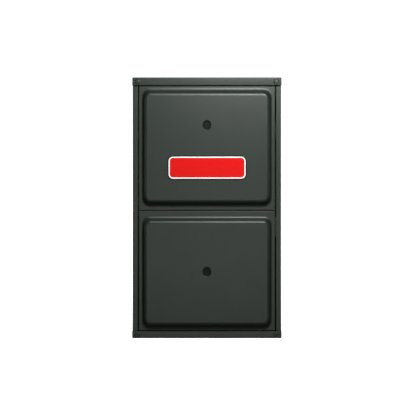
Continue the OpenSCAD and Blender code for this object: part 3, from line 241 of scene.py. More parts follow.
class Finish(Graph):
    """A procedural material on Object coordinates, ending in one Principled shader."""

    def __init__(self, name, metallic=0.0, specular=0.5):
        self.material = bpy.data.materials.new(name)
        self.material.use_nodes = True
        super().__init__(self.material.node_tree)
        self.tree.nodes.clear()
        self.shader = self.add("ShaderNodeBsdfPrincipled",
                               {"Metallic": metallic, "Specular IOR Level": specular})
        output = self.add("ShaderNodeOutputMaterial")
        self.put(output.inputs["Surface"], self.shader.outputs["BSDF"])
        self.place = self.add("ShaderNodeTexCoord").outputs["Object"]
        self.bumps = None

    def stretched(self, scale, turn=(0.0, 0.0, 0.0)):
        """The place that patterns are read at, scaled and turned."""
        node = self.add("ShaderNodeMapping", {"Vector": self.place, "Scale": scale,
                                              "Rotation": turn})
        return node.outputs["Vector"]

    def noise(self, size, detail=3.0, roughness=0.5, place=None, distortion=0.0):
        """A cloudy pattern whose patches are about size across."""
        node = self.add("ShaderNodeTexNoise", {"Vector": place or self.place, "Scale": 1.0 / size,
                                               "Detail": detail, "Roughness": roughness,
                                               "Distortion": distortion})
        return node.outputs["Fac"]

    def cells(self, size, feature="F1", output="Distance"):
        """A pattern of cells that are about size across."""
        node = self.add("ShaderNodeTexVoronoi", {"Vector": self.place, "Scale": 1.0 / size},
                        feature=feature)
        return node.outputs[output]

    def spread(self, value, low, high, to_low=0.0, to_high=1.0):
        """value, taken from low..high to to_low..to_high."""
        node = self.add("ShaderNodeMapRange", {"Value": value, "From Min": low, "From Max": high,
                                               "To Min": to_low, "To Max": to_high})
        return node.outputs["Result"]

    def blend(self, factor, a, b, kind="MIX"):
        """The colour a, mixed with the colour b by factor."""
        node = self.add("ShaderNodeMix", data_type="RGBA", blend_type=kind)
        self.put(node.inputs["Factor"], factor)
        self.put(node.inputs["A"], (*a, 1.0) if isinstance(a, tuple) else a)
        self.put(node.inputs["B"], (*b, 1.0) if isinstance(b, tuple) else b)
        return node.outputs["Result"]

    def edges(self, radius):
        """1 along convex and concave edges, 0 on flat ground."""
        bevel = self.add("ShaderNodeBevel", {"Radius": radius}, samples=4)
        normal = self.add("ShaderNodeNewGeometry").outputs["Normal"]
        dot = self.add("ShaderNodeVectorMath", operation="DOT_PRODUCT")
        self.put(dot.inputs[0], bevel.outputs["Normal"])
        self.put(dot.inputs[1], normal)
        return self.spread(dot.outputs["Value"], 0.995, 0.80)

    def bump(self, height, depth, strength):
        """Adds relief: height is a pattern, depth its real depth."""
        node = self.add("ShaderNodeBump", {"Height": height, "Strength": strength,
                                           "Distance": depth})
        if self.bumps is not None:
            self.put(node.inputs["Normal"], self.bumps)
        self.bumps = node.outputs["Normal"]

    def done(self, colour_socket, rough_socket):
        """The material, with its colour, roughness and relief joined to the shader."""
        self.put(self.shader.inputs["Base Color"], colour_socket)
        self.put(self.shader.inputs["Roughness"], rough_socket)
        if self.bumps is not None:
            self.put(self.shader.inputs["Normal"], self.bumps)
        return self.material


def lighter(rgb, factor):
    """A colour made lighter or darker."""
    return tuple(min(1.0, channel * factor) for channel in rgb)


# ---- finishes ----


def cabinet_paint():
    """Dark satin powder coat: fine orange peel, faint clouds, rubbed edges and a little dust."""
    s = bpy.context.scene.furnace_paint
    base = tuple(s.base)
    f = Finish("cabinet_paint")
    clouds = f.noise(0.16, 4.0, 0.6)
    fine = f.noise(0.012, 2.0)
    tone = f.blend(f.spread(clouds, 0.3, 0.7), lighter(base, 0.94), lighter(base, 1.06))
    tone = f.blend(f.spread(fine, 0.35, 0.65, 0.0, 0.25), tone, lighter(base, 1.10))
    rubbed = f.maths("MULTIPLY", f.edges(0.0012), f.spread(f.noise(0.02, 3.0), 0.35, 0.7))
    rubbed = f.maths("MULTIPLY", rubbed, s.wear)
    tone = f.blend(rubbed, tone, lighter(base, 2.6))
    rough = f.spread(f.noise(0.05, 4.0, 0.6), 0.25, 0.75, s.rough - 0.02, s.rough + 0.02)
    f.bump(f.noise(0.0055, 3.0, 0.6), 0.00022, s.peel)
    f.bump(f.noise(0.45, 1.0, 0.4), 0.0012, 0.30)
    return f.done(tone, rough)


def galvanised_steel():
    """Zinc-coated sheet: crystal flakes of differing brightness, dulled patches and rubbed edges."""
    base = (0.50, 0.52, 0.53)
    f = Finish("galvanised_steel", metallic=1.0)
    flake = f.cells(0.014, output="Color")
    grey = f.add("ShaderNodeSeparateColor", {"Color": flake}).outputs["Red"]
    tone = f.blend(f.spread(grey, 0.0, 1.0), lighter(base, 0.80), lighter(base, 1.18))
    dull = f.spread(f.noise(0.09, 5.0, 0.65), 0.45, 0.75, 0.0, 0.35)
    tone = f.blend(dull, tone, lighter(base, 0.78))
    tone = f.blend(f.maths("MULTIPLY", f.edges(0.0010), 0.4), tone, lighter(base, 1.45))
    rough = f.maths("ADD", f.spread(grey, 0.0, 1.0, 0.30, 0.46), f.maths("MULTIPLY", dull, 0.35))
    f.bump(f.noise(0.0016, 2.0), 0.00006, 0.5)
    f.bump(f.noise(0.12, 1.0), 0.0006, 0.3)
    return f.done(tone, rough)


def drawn_steel(name, base, rough, along, heat=0.0):
    """Rolled or drawn sheet with fine lines, and a straw to blue tint where heat is above 0."""
    f = Finish(name, metallic=1.0)
    lines = f.noise(0.0022, 4.0, 0.6, place=f.stretched(along))
    clouds = f.noise(0.05, 4.0, 0.6)
    tone = f.blend(f.spread(lines, 0.3, 0.7), lighter(base, 0.86), lighter(base, 1.12))
    tone = f.blend(f.spread(clouds, 0.4, 0.75, 0.0, 0.4), tone, lighter(base, 0.72))
    if heat > 0:
        patch = f.spread(f.noise(0.11, 3.0, 0.55, distortion=0.6), 0.50, 0.70, 0.0, heat)
        tone = f.blend(patch, tone, (0.30, 0.22, 0.13))
        tone = f.blend(f.maths("MULTIPLY", patch, 0.5), tone, (0.10, 0.12, 0.20))
    tone = f.blend(f.maths("MULTIPLY", f.edges(0.0006), 0.5), tone, lighter(base, 1.5))
    f.bump(lines, 0.00005, 0.6)
    return f.done(tone, f.spread(lines, 0.25, 0.75, rough - 0.07, rough + 0.09))


def enamel(name, base, rough):
    """A painted or blackened part: slight orange peel, worn edges and dust that lies on top."""
    f = Finish(name)
    clouds = f.noise(0.04, 4.0, 0.6)
    tone = f.blend(f.spread(clouds, 0.3, 0.7), lighter(base, 0.85), lighter(base, 1.18))
    worn = f.maths("MULTIPLY", f.edges(0.0009), f.spread(f.noise(0.008, 3.0), 0.4, 0.7, 0.0, 0.3))
    tone = f.blend(worn, tone, (0.30, 0.30, 0.29))
    normal = f.add("ShaderNodeNewGeometry").outputs["Normal"]
    up = f.add("ShaderNodeSeparateXYZ", {"Vector": normal})
    film = f.maths("MULTIPLY", f.spread(up.outputs["Z"], 0.5, 1.0),
                   f.spread(f.noise(0.02, 5.0, 0.7), 0.3, 0.7, 0.0, 0.2))
    tone = f.blend(film, tone, (0.33, 0.31, 0.28))
    f.bump(f.noise(0.0020, 2.0), 0.00008, 0.5)
    rough_socket = f.maths("ADD", f.spread(clouds, 0.3, 0.7, rough - 0.04, rough + 0.05),
                           f.maths("MULTIPLY", film, 0.3))
    return f.done(tone, rough_socket)


def moulded(name, base, rough, grain=0.0009, depth=0.00005, specular=0.5, worn=0.25):
    """Moulded plastic: a fine spark-eroded grain, faint flow clouds and paler rubbed edges."""
    f = Finish(name, specular=specular)
    clouds = f.noise(0.015, 3.0, 0.5)
    tone = f.blend(f.spread(clouds, 0.3, 0.7), lighter(base, 0.92), lighter(base, 1.08))
    tone = f.blend(f.maths("MULTIPLY", f.edges(0.0005), worn), tone,
                   tuple(0.75 * c + 0.10 for c in base))
    f.bump(f.noise(grain, 1.0), depth, 0.7)
    return f.done(tone, f.spread(clouds, 0.3, 0.7, rough - 0.05, rough + 0.06))


def cast_metal(name, base, rough=0.5):
    """A die casting: a grainy skin, darker cloudy patches and bright machined edges."""
    f = Finish(name, metallic=1.0)
    grain = f.noise(0.0014, 4.0, 0.65)
    clouds = f.noise(0.02, 4.0, 0.6)
    tone = f.blend(f.spread(grain, 0.3, 0.7), lighter(base, 0.80), lighter(base, 1.10))
    tone = f.blend(f.spread(clouds, 0.45, 0.75, 0.0, 0.3), tone, lighter(base, 0.65))
    tone = f.blend(f.maths("MULTIPLY", f.edges(0.0010), 0.6), tone, lighter(base, 1.5))
    f.bump(grain, 0.00015, 0.6)
    return f.done(tone, f.spread(grain, 0.3, 0.7, rough - 0.08, rough + 0.10))


def nameplate_finish(name, base, rough, grain):
    """Printed and clear-coated sheet: even colour with faint screen-print mottle, and painted shade
    along its edges.
    """
    f = Finish(name, specular=0.15)
    mottle = f.noise(0.004, 3.0, 0.6)
    clouds = f.noise(0.05, 2.0)
    tone = f.blend(f.spread(mottle, 0.3, 0.7), lighter(base, 0.965), lighter(base, 1.03))
    tone = f.blend(f.spread(clouds, 0.4, 0.7, 0.0, 0.4), tone, lighter(base, 0.96))
    # Painted shade: the colour darkens along the plate's edges and in the step between its border
    # and its face.
    tone = f.blend(f.maths("MULTIPLY", f.edges(0.0004), 0.3), tone, lighter(base, 0.7))
    f.bump(f.noise(grain, 2.0), 0.00003, 0.5)
    return f.done(tone, f.spread(mottle, 0.3, 0.7, rough - 0.03, rough + 0.04))


def dark_glass():
    """Smoked sight glass: almost black, with a faint greenish haze."""
    f = Finish("dark_glass", specular=0.15)
    haze = f.noise(0.01, 4.0, 0.6)
    tone = f.blend(f.spread(haze, 0.35, 0.7), (0.0020, 0.0026, 0.0024), (0.006, 0.007, 0.0065))
    f.bump(f.noise(0.006, 1.0), 0.00002, 0.4)
    return f.done(tone, f.spread(haze, 0.3, 0.7, 0.42, 0.52))


def foil_liner():
    """Foil-faced insulation: crinkled foil over fibre, with a reinforcing scrim of threads."""
    f = Finish("foil_liner", metallic=0.85)
    crinkle = f.cells(0.018, feature="DISTANCE_TO_EDGE")
    fine = f.noise(0.006, 4.0, 0.7)
    tone = f.blend(f.spread(fine, 0.3, 0.7), (0.46, 0.47, 0.46), (0.66, 0.67, 0.65))
    wave = f.add("ShaderNodeTexWave", {"Vector": f.place, "Scale": 28.0, "Distortion": 0.4},
                 bands_direction="Z").outputs["Fac"]
    tone = f.blend(f.spread(wave, 0.92, 1.0, 0.0, 0.35), tone, (0.75, 0.74, 0.70))
    f.bump(crinkle, 0.0035, 0.5)
    f.bump(fine, 0.0008, 0.5)
    return f.done(tone, f.spread(fine, 0.3, 0.7, 0.28, 0.46))


def circuit_board():
    """Green solder mask over a maze of copper tracks, with tinned spots."""
    f = Finish("board_green")
    grid = f.add("ShaderNodeTexBrick", {"Vector": f.stretched((1.0, 1.0, 1.0), (math.pi / 2, 0, 0)),
                                        "Scale": 110.0, "Mortar Size": 0.10, "Mortar Smooth": 0.1,
                                        "Brick Width": 1.6, "Row Height": 0.35})
    tracks = f.spread(grid.outputs["Fac"], 0.4, 0.6)
    tone = f.blend(tracks, (0.010, 0.085, 0.030), (0.030, 0.170, 0.060))
    clouds = f.noise(0.02, 3.0)
    tone = f.blend(f.spread(clouds, 0.4, 0.7, 0.0, 0.3), tone, (0.006, 0.055, 0.022))
    spots = f.spread(f.cells(0.0075), 0.10, 0.07)
    tone = f.blend(spots, tone, (0.55, 0.55, 0.52))
    f.bump(tracks, 0.00006, 0.8)
    return f.done(tone, f.spread(clouds, 0.3, 0.7, 0.26, 0.36))


def wire_insulation():
    """Insulated wire: each wire's own colour, kinked a little, with a soft sheen and dust."""
    f = Finish("wire_insulation")
    own = f.add("ShaderNodeAttribute", attribute_name="wire_colour").outputs["Color"]
    clouds = f.noise(0.012, 4.0, 0.6)
    tone = f.blend(f.spread(clouds, 0.35, 0.7, 0.0, 0.45), own, (0.10, 0.095, 0.09),
                   kind="MULTIPLY")
    tone = f.blend(f.spread(f.noise(0.03, 4.0), 0.5, 0.75, 0.0, 0.25), tone, (0.25, 0.24, 0.22))
    f.bump(f.noise(0.0012, 2.0), 0.00008, 0.6)
    return f.done(tone, f.spread(clouds, 0.3, 0.7, 0.32, 0.48))


def ceramic_body():
    """Unglazed ceramic: chalky white with brown scorching and pores."""
    f = Finish("ceramic")
    pores = f.noise(0.0012, 5.0, 0.7)
    tone = f.blend(f.spread(pores, 0.3, 0.7), (0.62, 0.58, 0.50), (0.80, 0.78, 0.72))
    tone = f.blend(f.spread(f.noise(0.010, 3.0), 0.52, 0.72, 0.0, 0.5), tone, (0.35, 0.24, 0.15))
    f.bump(pores, 0.00012, 0.8)
    return f.done(tone, f.spread(pores, 0.3, 0.7, 0.62, 0.80))


def all_finishes():
    """Every finish of the furnace, by the record's slot names."""
    names = bpy.context.scene.furnace_nameplate
    return {
        "cabinet_paint": cabinet_paint(),
        "galvanised_steel": galvanised_steel(),
        "aluminised_steel": drawn_steel("aluminised_steel", (0.42, 0.42, 0.41), 0.42,
                                        (1.0, 0.08, 1.0), heat=0.6),
        "dark_steel": enamel("dark_steel", (0.045, 0.047, 0.050), 0.42),
        "motor_black": enamel("motor_black", (0.016, 0.016, 0.017), 0.34),
        "bare_steel": drawn_steel("bare_steel", (0.56, 0.57, 0.58), 0.24, (0.10, 1.0, 1.0)),
        "cast_aluminium": cast_metal("cast_aluminium", (0.48, 0.49, 0.50)),
        "brass": cast_metal("brass", (0.66, 0.47, 0.18), rough=0.28),
        "black_plastic": moulded("black_plastic", (0.006, 0.006, 0.0065), 0.55,
                                 specular=0.2, worn=0.05),
        "dark_plastic": moulded("dark_plastic", (0.030, 0.034, 0.040), 0.38),
        "red_plastic": moulded("red_plastic", (0.55, 0.020, 0.016), 0.28),
        "white_plastic": nameplate_finish("white_plastic", tuple(names.white), 0.34, 0.003),
        "cream_plastic": moulded("cream_plastic", (0.62, 0.58, 0.47), 0.42),
        "nameplate_red": nameplate_finish("nameplate_red", tuple(names.red), 0.36, 0.002),
        "board_green": circuit_board(),
        "rubber_black": moulded("rubber_black", (0.014, 0.014, 0.014), 0.62, 0.0016, 0.0001),
        "wire_insulation": wire_insulation(),
        "dark_glass": dark_glass(),
        "ceramic": ceramic_body(),
        "foil_liner": foil_liner(),
    }


FINISHES = {}


def finish_of(slot):
    """The material of a slot, made once."""
    if not FINISHES:
        FINISHES.update(all_finishes())
    return FINISHES[slot]


# ---- outlines ----


def rounded(x0, x1, z0, z1, rx, rz, steps=12):
    """Points round a rectangle with oval corners, counterclockwise."""
    points = []
    for right, top, start in ((True, True, 0), (False, True, 90), (False, False, 180),
                              (True, False, 270)):
        cx = x1 - rx if right else x0 + rx
        cz = z1 - rz if top else z0 + rz
        for k in range(steps + 1):
            a = math.radians(start + 90.0 * k / steps)
            points.append((cx + rx * math.cos(a), cz + rz * math.sin(a)))
    return points


def circle(cx, cz, r, steps=48):
    """Points round a circle, counterclockwise."""
    turns = [2 * math.pi * k / steps for k in range(steps)]
    return [(cx + r * math.cos(a), cz + r * math.sin(a)) for a in turns]


def arc(steps=BENT_STEPS):
    """(sine, 1 - cosine) of a quarter turn."""
    turns = [math.pi / 2 * k / steps for k in range(steps + 1)]
    return [(math.sin(a), 1 - math.cos(a)) for a in turns]


# ---- sheet metal ----


class Sheet:
    """The outer face of one bent sheet, made of rings, quads and flat fields."""

    def __init__(self):
        self.bm = bmesh.new()

    def ring(self, points):
        """New corners at the points."""
        return [self.bm.verts.new(p) for p in points]

    def bridge(self, a, b):
        """Faces between two closed rings of as many corners."""
        for i in range(len(a)):
            j = (i + 1) % len(a)
            self.bm.faces.new((a[i], a[j], b[j], b[i]))

    def loft(self, rings):
        """Rings of points, each joined to the one before. Gives the first and the last ring."""
        made = [self.ring(points) for points in rings]
        for a, b in zip(made, made[1:]):
            self.bridge(a, b)
        return made[0], made[-1]

    def fill(self, *loops):
        """A flat field inside the first closed loop and outside the others, which are convex."""
        verts = [vert for loop in loops for vert in loop]
        owner = {vert: k for k, loop in enumerate(loops) for vert in loop}
        span = [max(v.co[i] for v in verts) - min(v.co[i] for v in verts) for i in range(3)]
        across, up = [i for i in range(3) if i != span.index(min(span))]
        edges = []
        start = 0
        for loop in loops:
            edges += [(start + i, start + (i + 1) % len(loop)) for i in range(len(loop))]
            start += len(loop)
        flat = [Vector((v.co[across], v.co[up])) for v in verts]
        made = delaunay_2d_cdt(flat, edges, [], 2, 1e-9)
        triangles, sources = made[2], made[3]
        origin = [verts[source[0]] for source in sources]
        for triangle in triangles:
            corners = [origin[i] for i in triangle]
            owners = {owner[vert] for vert in corners}
            if len(owners) > 1 or 0 in owners:
                self.bm.faces.new(corners)

    def piece(self, name, slot, outward, thickness=0.0):
        """The finished piece: outward is a direction that its largest face looks in."""
        bmesh.ops.remove_doubles(self.bm, verts=self.bm.verts, dist=1e-6)
        bmesh.ops.recalc_face_normals(self.bm, faces=self.bm.faces)
        largest = max(self.bm.faces, key=lambda face: face.calc_area())
        if largest.normal.dot(Vector(outward)) < 0:
            bmesh.ops.reverse_faces(self.bm, faces=self.bm.faces)
        mesh = bpy.data.meshes.new(name)
        self.bm.to_mesh(mesh)
        self.bm.free()
        return settled(name, mesh, slot, thickness)


def settled(name, mesh, slot, thickness):
    """An object from the mesh, with its wall and its even shading made part of it."""
    draft = bpy.data.objects.new(name + "_draft", mesh)
    bpy.context.scene.collection.objects.link(draft)
    mesh.shade_smooth()
    mesh.set_sharp_from_angle(angle=SHARP_SHEET)
    if thickness:
        wall = draft.modifiers.new("wall", "SOLIDIFY")
        wall.thickness = thickness
        wall.offset = -1.0
        wall.use_even_offset = True
    even = draft.modifiers.new("even", "WEIGHTED_NORMAL")
    even.keep_sharp = True
    return plain(draft, name, slot)


def plain(draft, name, slot):
    """draft with its modifiers turned into a plain mesh, as a new object."""
    bpy.context.view_layer.update()
    graph = bpy.context.evaluated_depsgraph_get()
    mesh = bpy.data.meshes.new_from_object(draft.evaluated_get(graph))
    mesh.name = name
    bpy.data.objects.remove(draft)
    piece = bpy.data.objects.new(name, mesh)
    bpy.context.scene.collection.objects.link(piece)
    mesh.materials.clear()
    mesh.materials.append(finish_of(slot))
    return piece


def stand(piece, body, *nodes):
    """The piece rides on the body and stands for the nodes."""
    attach(piece, body)
    if nodes:
        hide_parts(*nodes)
    return piece


def facing_front(outline, y):
    """The outline's points, upright at the depth y."""
    return [(x, y, z) for x, z in outline]


# ---- doors ----

FOOT_CORNER = (27 * MM, 31 * MM)        # corner radii, across and up, of a field's foot
TOP_CORNER = (13 * MM, 15 * MM)         # and of its top
UPPER_MARGINS = (9.2 * MM, 4.7 * MM)    # flat margins below and above the upper door's field
LOWER_MARGINS = (2.4 * MM, 14.4 * MM)   # and the lower door's
PORT_SIZE = (30 * MM, 35.5 * MM)        # width and height of the dimple round a sight port
PORT_HOLE = (23.5 * MM, 27.5 * MM)      # and of the hole in it
PORT_RIM = 4 * MM                       # how much wider the first ring of the flat field is
DIMPLE_STEPS = 10                       # rings of faces in a dimple


def field_profile(door):
    """A raised field's edge from its top to its foot: (part of the run, part of the depth).

    Two equal bends meet at the steepest slope, so their radius follows from the run and the depth.
    """
    steepest = door.slope
    bend = (door.run_x - door.field_depth / math.tan(steepest)) / (
        2 * (math.sin(steepest) - (1 - math.cos(steepest)) / math.tan(steepest)))
    turns = [steepest * k / BENT_STEPS for k in range(BENT_STEPS + 1)]
    drop = [(bend * math.sin(a) / door.run_x, bend * (1 - math.cos(a)) / door.field_depth)
            for a in turns]
    return [(1 - run, 1 - depth) for run, depth in drop] + drop[::-1]


def dimple_profile():
    """The dimple round a sight port, from its hole to its rim: (part inwards, part of the depth)."""
    turns = [k / DIMPLE_STEPS for k in range(DIMPLE_STEPS + 1)]
    return [(1 - t, 0.5 + 0.5 * math.cos(math.pi * t)) for t in turns]


def between(a, b, part):
    """The numbers that lie part of the way from those of a to those of b."""
    return [p + (q - p) * part for p, q in zip(a, b)]


def oval(size, z):
    """What rounded() needs for an oval of that size, on the middle line at the height z."""
    half_x = size[0] / 2
    half_z = size[1] / 2
    return (-half_x, half_x, z - half_z, z + half_z, half_x, half_z)


def door(name, corners, margins, glass):
    """One door: folded edge, flat margin, raised field and the dimple of its sight port."""
    s = bpy.context.scene.furnace_door
    low, high = corners
    field_y = low.y
    margin_y = field_y + s.field_depth
    port_z = (glass[0].z + glass[1].z) / 2
    rim = [low.x, high.x, low.z, high.z, s.corner, s.corner]
    foot = [low.x + s.field_side, high.x - s.field_side, low.z + margins[0], high.z - margins[1],
            *FOOT_CORNER]
    top = [foot[0] + s.run_x, foot[1] - s.run_x, foot[2] + s.run_low, foot[3] - s.run_high,
           *TOP_CORNER]
    dimple = [oval(between(PORT_SIZE, PORT_HOLE, run), port_z) for run, _ in dimple_profile()]
    rings = [facing_front(rounded(*o), field_y + s.port_depth * drop)
             for o, (_, drop) in zip(dimple, dimple_profile())]
    rings.append(facing_front(rounded(*oval([v + PORT_RIM for v in PORT_SIZE], port_z)), field_y))
    for run, depth in field_profile(s):
        outline = rounded(*between(foot, top, run))
        rings.append(facing_front(outline, margin_y - s.field_depth * depth))
    for turn, drop in arc():
        inset = s.fold * (1 - turn)
        outline = (rim[0] + inset, rim[1] - inset, rim[2] + inset, rim[3] - inset,
                   rim[4] - inset, rim[5] - inset)
        rings.append(facing_front(rounded(*outline), margin_y + s.fold * drop))
    rings.append(facing_front(rounded(*rim), high.y))
    sheet = Sheet()
    sheet.loft(rings)
    thickness = bpy.context.scene.furnace_sheet.sheet
    return stand(sheet.piece(name + "_shell", "cabinet_paint", (0, -1, 0), thickness), name, name)


class FURNACE_OT_doors(bpy.types.Operator):
    """Builds the two doors"""

    bl_idname = "furnace.doors"
    bl_label = "Doors"

    def execute(self, context):
        door("upper_door", UPPER_DOOR, UPPER_MARGINS, UPPER_GLASS)
        door("lower_door", LOWER_DOOR, LOWER_MARGINS, LOWER_GLASS)
        return {"FINISHED"}


# ---- top cap and base tray ----

CORNER_OVER_BEND = 0.4 * MM    # a cap's corner radius is this much more than its bend's
HEM_BEND = 2.4 * MM            # bend radius of the supply opening's hem
HEM_STEPS = 6                  # faces round that bend
OPENING_CORNER = 6 * MM        # corner radius of the supply and return openings
CORNER_STEPS = 6               # faces round a corner of a cap or an opening
VENT_STEPS = 72                # faces round the vent's hole

# Openings for the air, from left to right and from front to back.
SUPPLY = (-200 * MM, 200 * MM, -125 * MM, 335 * MM)
RETURN = (-200 * MM, 200 * MM, -250 * MM, 330 * MM)


def level(outline, z):
    """The outline's points, flat at the height z."""
    return [(x, y, z) for x, y in outline]


def cap_rings(low, high, bend, edge_z, plate_z, corner):
    """Rings from the free edge of a cap's band round the bend to its plate."""
    toward = 1 if plate_z > edge_z else -1
    rings = [level(rounded(low.x, high.x, low.y, high.y, corner, corner, CORNER_STEPS), edge_z)]
    for turn, drop in arc():
        inset = bend * drop
        outline = rounded(low.x + inset, high.x - inset, low.y + inset, high.y - inset,
                          corner - inset, corner - inset, CORNER_STEPS)
        rings.append(level(outline, plate_z - toward * bend * (1 - turn)))
    return rings


def opening_outline(opening, out):
    """Points round an opening that is out wider on each side."""
    x0, x1, y0, y1 = opening
    corner = OPENING_CORNER + out
    return rounded(x0 - out, x1 + out, y0 - out, y1 + out, corner, corner, CORNER_STEPS)


def hemmed_opening(sheet, opening, top, depth):
    """Rings round an opening whose edge is turned down. Gives the ring in the plate."""
    rings = []
    for turn, drop in arc(HEM_STEPS):
        rings.append(level(opening_outline(opening, HEM_BEND * (1 - turn)), top - HEM_BEND * drop))
    rings.append(level(opening_outline(opening, 0.0), top - depth))
    return sheet.loft(rings)[0]


def top_cap():
    """The top cap: band, bend and plate with the hemmed supply opening and the vent's hole."""
    s = bpy.context.scene.furnace_sheet
    low, high = TOP_CAP
    corner = s.cap_bend + CORNER_OVER_BEND
    sheet = Sheet()
    _, plate = sheet.loft(cap_rings(low, high, s.cap_bend, low.z, high.z, corner))
    opening = hemmed_opening(sheet, SUPPLY, high.z, s.hem)
    flue = (FLUE_PIPE[0] + FLUE_PIPE[1]) / 2
    vent = sheet.ring(level(circle(flue.x, flue.y, s.vent_hole, VENT_STEPS), high.z))
    sheet.fill(plate, opening, vent)
    return stand(sheet.piece("top_cap_shell", "cabinet_paint", (0, 0, 1), s.cap_sheet),
                 "casing", "top_cap")


def base_tray():
    """The base tray: band, bend and plate with the return opening."""
    s = bpy.context.scene.furnace_sheet
    low, high = BASE_TRAY
    corner = s.cap_bend + CORNER_OVER_BEND
    sheet = Sheet()
    _, plate = sheet.loft(cap_rings(low, high, s.cap_bend, high.z, low.z, corner))
    sheet.fill(plate, sheet.ring(level(opening_outline(RETURN, 0.0), low.z)))
    return stand(sheet.piece("base_tray_shell", "cabinet_paint", (0, 0, -1), s.cap_sheet),
                 "casing", "base_tray")


class FURNACE_OT_caps(bpy.types.Operator):
    """Builds the top cap and the base tray"""

    bl_idname = "furnace.caps"
    bl_label = "Top cap and base tray"

    def execute(self, context):
        top_cap()
        base_tray()
        return {"FINISHED"}


# ---- side and back panels ----

LIP_START = 4 * MM              # how far above the base's band the side panels' lips start

SIDE_HOLES = {  # places from front to back, and heights: gas pipe, mains wires, control wires
    "gas": (-295 * MM, 590 * MM),
    "line": (-265 * MM, 375 * MM),
    "low": (-290 * MM, 320 * MM),
}

RIBS = (160 * MM, 320 * MM, 560 * MM, 720 * MM)     # heights of the back panel's ribs
RIB_HALF = 180 * MM             # half a rib's length
RIB_HIGH = 6 * MM               # half its height
RIB_DEPTH = 3 * MM
RIB_SLOPE = 3.4 * MM            # width of its sloping edge
RIB_STEPS = 6                   # rings of faces in that edge
RIB_END_STEPS = 8               # faces round a quarter of its end
BACK_BEND = 2 * MM              # bend radius of the back panel's side flanges
BACK_BEND_STEPS = 5
BACK_FLANGE = 20 * MM           # how far those flanges reach to the front


def side_panel(name, side):
    """A side panel: wall with its holes, front bend, flange and lip. side is 1 right, -1 left."""
    s = bpy.context.scene.furnace_sheet
    low, high = RIGHT_PANEL
    wall_x = high.x
    flange_x = high.x - s.flange
    bend = s.panel_bend
    front = low.y
    band_low = BASE_TRAY[1].z
    band_high = TOP_CAP[0].z
    notch = UPPER_DOOR[1].z
    levels = [low.z, band_low, band_low + LIP_START, notch, band_high, high.z]
    columns = [(wall_x - bend * drop, front + bend * (1 - turn)) for turn, drop in arc()]
    inner = [(flange_x + bend * (1 - turn), front + bend * drop) for turn, drop in arc()]
    columns += inner + [(flange_x, front + s.lip)]
    flange_end = BENT_STEPS + 1
    lip_end = len(columns) - 1
    # Faces from the wall inwards, between one level and the next. The base's band hides the lowest.
    reach = [0, flange_end, lip_end, BENT_STEPS // 2, flange_end]
    sheet = Sheet()
    grid = [[sheet.bm.verts.new((side * x, y, z)) for x, y in columns] for z in levels]
    for row, end in enumerate(reach):
        for column in range(end):
            sheet.bm.faces.new((grid[row][column], grid[row][column + 1],
                                grid[row + 1][column + 1], grid[row + 1][column]))
    back = [sheet.bm.verts.new((side * wall_x, high.y, z)) for z in (high.z, low.z)]
    border = [row[0] for row in grid] + back
    holes = []
    for key, (y, z) in SIDE_HOLES.items():
        radius = s.gas_hole if key == "gas" else s.wire_hole
        holes.append(sheet.ring([(side * wall_x, a, b) for a, b in circle(y, z, radius)]))
    sheet.fill(border, *holes)
    for vert in [v for v in sheet.bm.verts if not v.link_faces]:
        sheet.bm.verts.remove(vert)
    return stand(sheet.piece(name + "_shell", "cabinet_paint", (side, 0, 0), s.sheet),
                 "casing", name)


def rib_rings(z, wall_y):
    """Rings of a pressed rib at the height z, from its edge to its floor."""
    rings = []
    for k in range(RIB_STEPS + 1):
        t = k / RIB_STEPS
        inset = RIB_SLOPE * t
        half, end = RIB_HALF - inset, RIB_HIGH - inset
        depth = RIB_DEPTH * (0.5 - 0.5 * math.cos(math.pi * t))
        outline = rounded(-half, half, z - end, z + end, end, end, RIB_END_STEPS)
        rings.append(facing_front(outline, wall_y - depth))
    return rings


def back_panel():
    """The back panel: flanges along the sides and four pressed ribs."""
    s = bpy.context.scene.furnace_sheet
    low, high = BACK_PANEL
    sheet = Sheet()
    ribs = []
    for z in RIBS:
        outer, inner = sheet.loft(rib_rings(z, high.y))
        sheet.fill(inner)
        ribs.append(outer)
    folds = []
    for side in (-1, 1):
        columns = [(side * (high.x - BACK_BEND * (1 - turn)), high.y - BACK_BEND * drop)
                   for turn, drop in arc(BACK_BEND_STEPS)]
        columns.append((side * high.x, high.y - BACK_FLANGE))
        strip = [[sheet.bm.verts.new((x, y, z)) for z in (low.z, high.z)] for x, y in columns]
        for a, b in zip(strip, strip[1:]):
            sheet.bm.faces.new((a[0], a[1], b[1], b[0]))
        folds.append(strip[0])
    left, right = folds
    sheet.fill([left[0], left[1], right[1], right[0]], *ribs)
    return stand(sheet.piece("back_panel_shell", "cabinet_paint", (0, 1, 0), s.sheet),
                 "casing", "back_panel")


class FURNACE_OT_panels(bpy.types.Operator):
    """Builds the side panels and the back panel"""

    bl_idname = "furnace.panels"
    bl_label = "Side and back panels"

    def execute(self, context):
        side_panel("left_side_panel", -1)
        side_panel("right_side_panel", 1)
        back_panel()
        return {"FINISHED"}


# ---- nameplate ----

EDGE_STEPS = 4                  # faces round the rounded edge of a plate or a ring
PANEL_SUNK = 0.3 * MM           # how far the red face lies behind the light border
PANEL_EDGE = 0.1 * MM           # rounding of the red face's edge


def slab(name, slot, outline, y_front, y_back, edge):
    """A flat plate facing the front, rounded along its front edge. outline is for rounded()."""
    x0, x1, z0, z1, rx, rz = outline
    sheet = Sheet()
    rings = [facing_front(rounded(*outline), y_back)]
    for turn, drop in arc(EDGE_STEPS):
        inset = edge * drop
        shape = rounded(x0 + inset, x1 - inset, z0 + inset, z1 - inset, rx - inset, rz - inset)
        rings.append(facing_front(shape, y_front + edge * (1 - turn)))
    back, front = sheet.loft(rings)
    sheet.fill(front)
    sheet.fill(back)
    return sheet.piece(name, slot, (0, -1, 0))


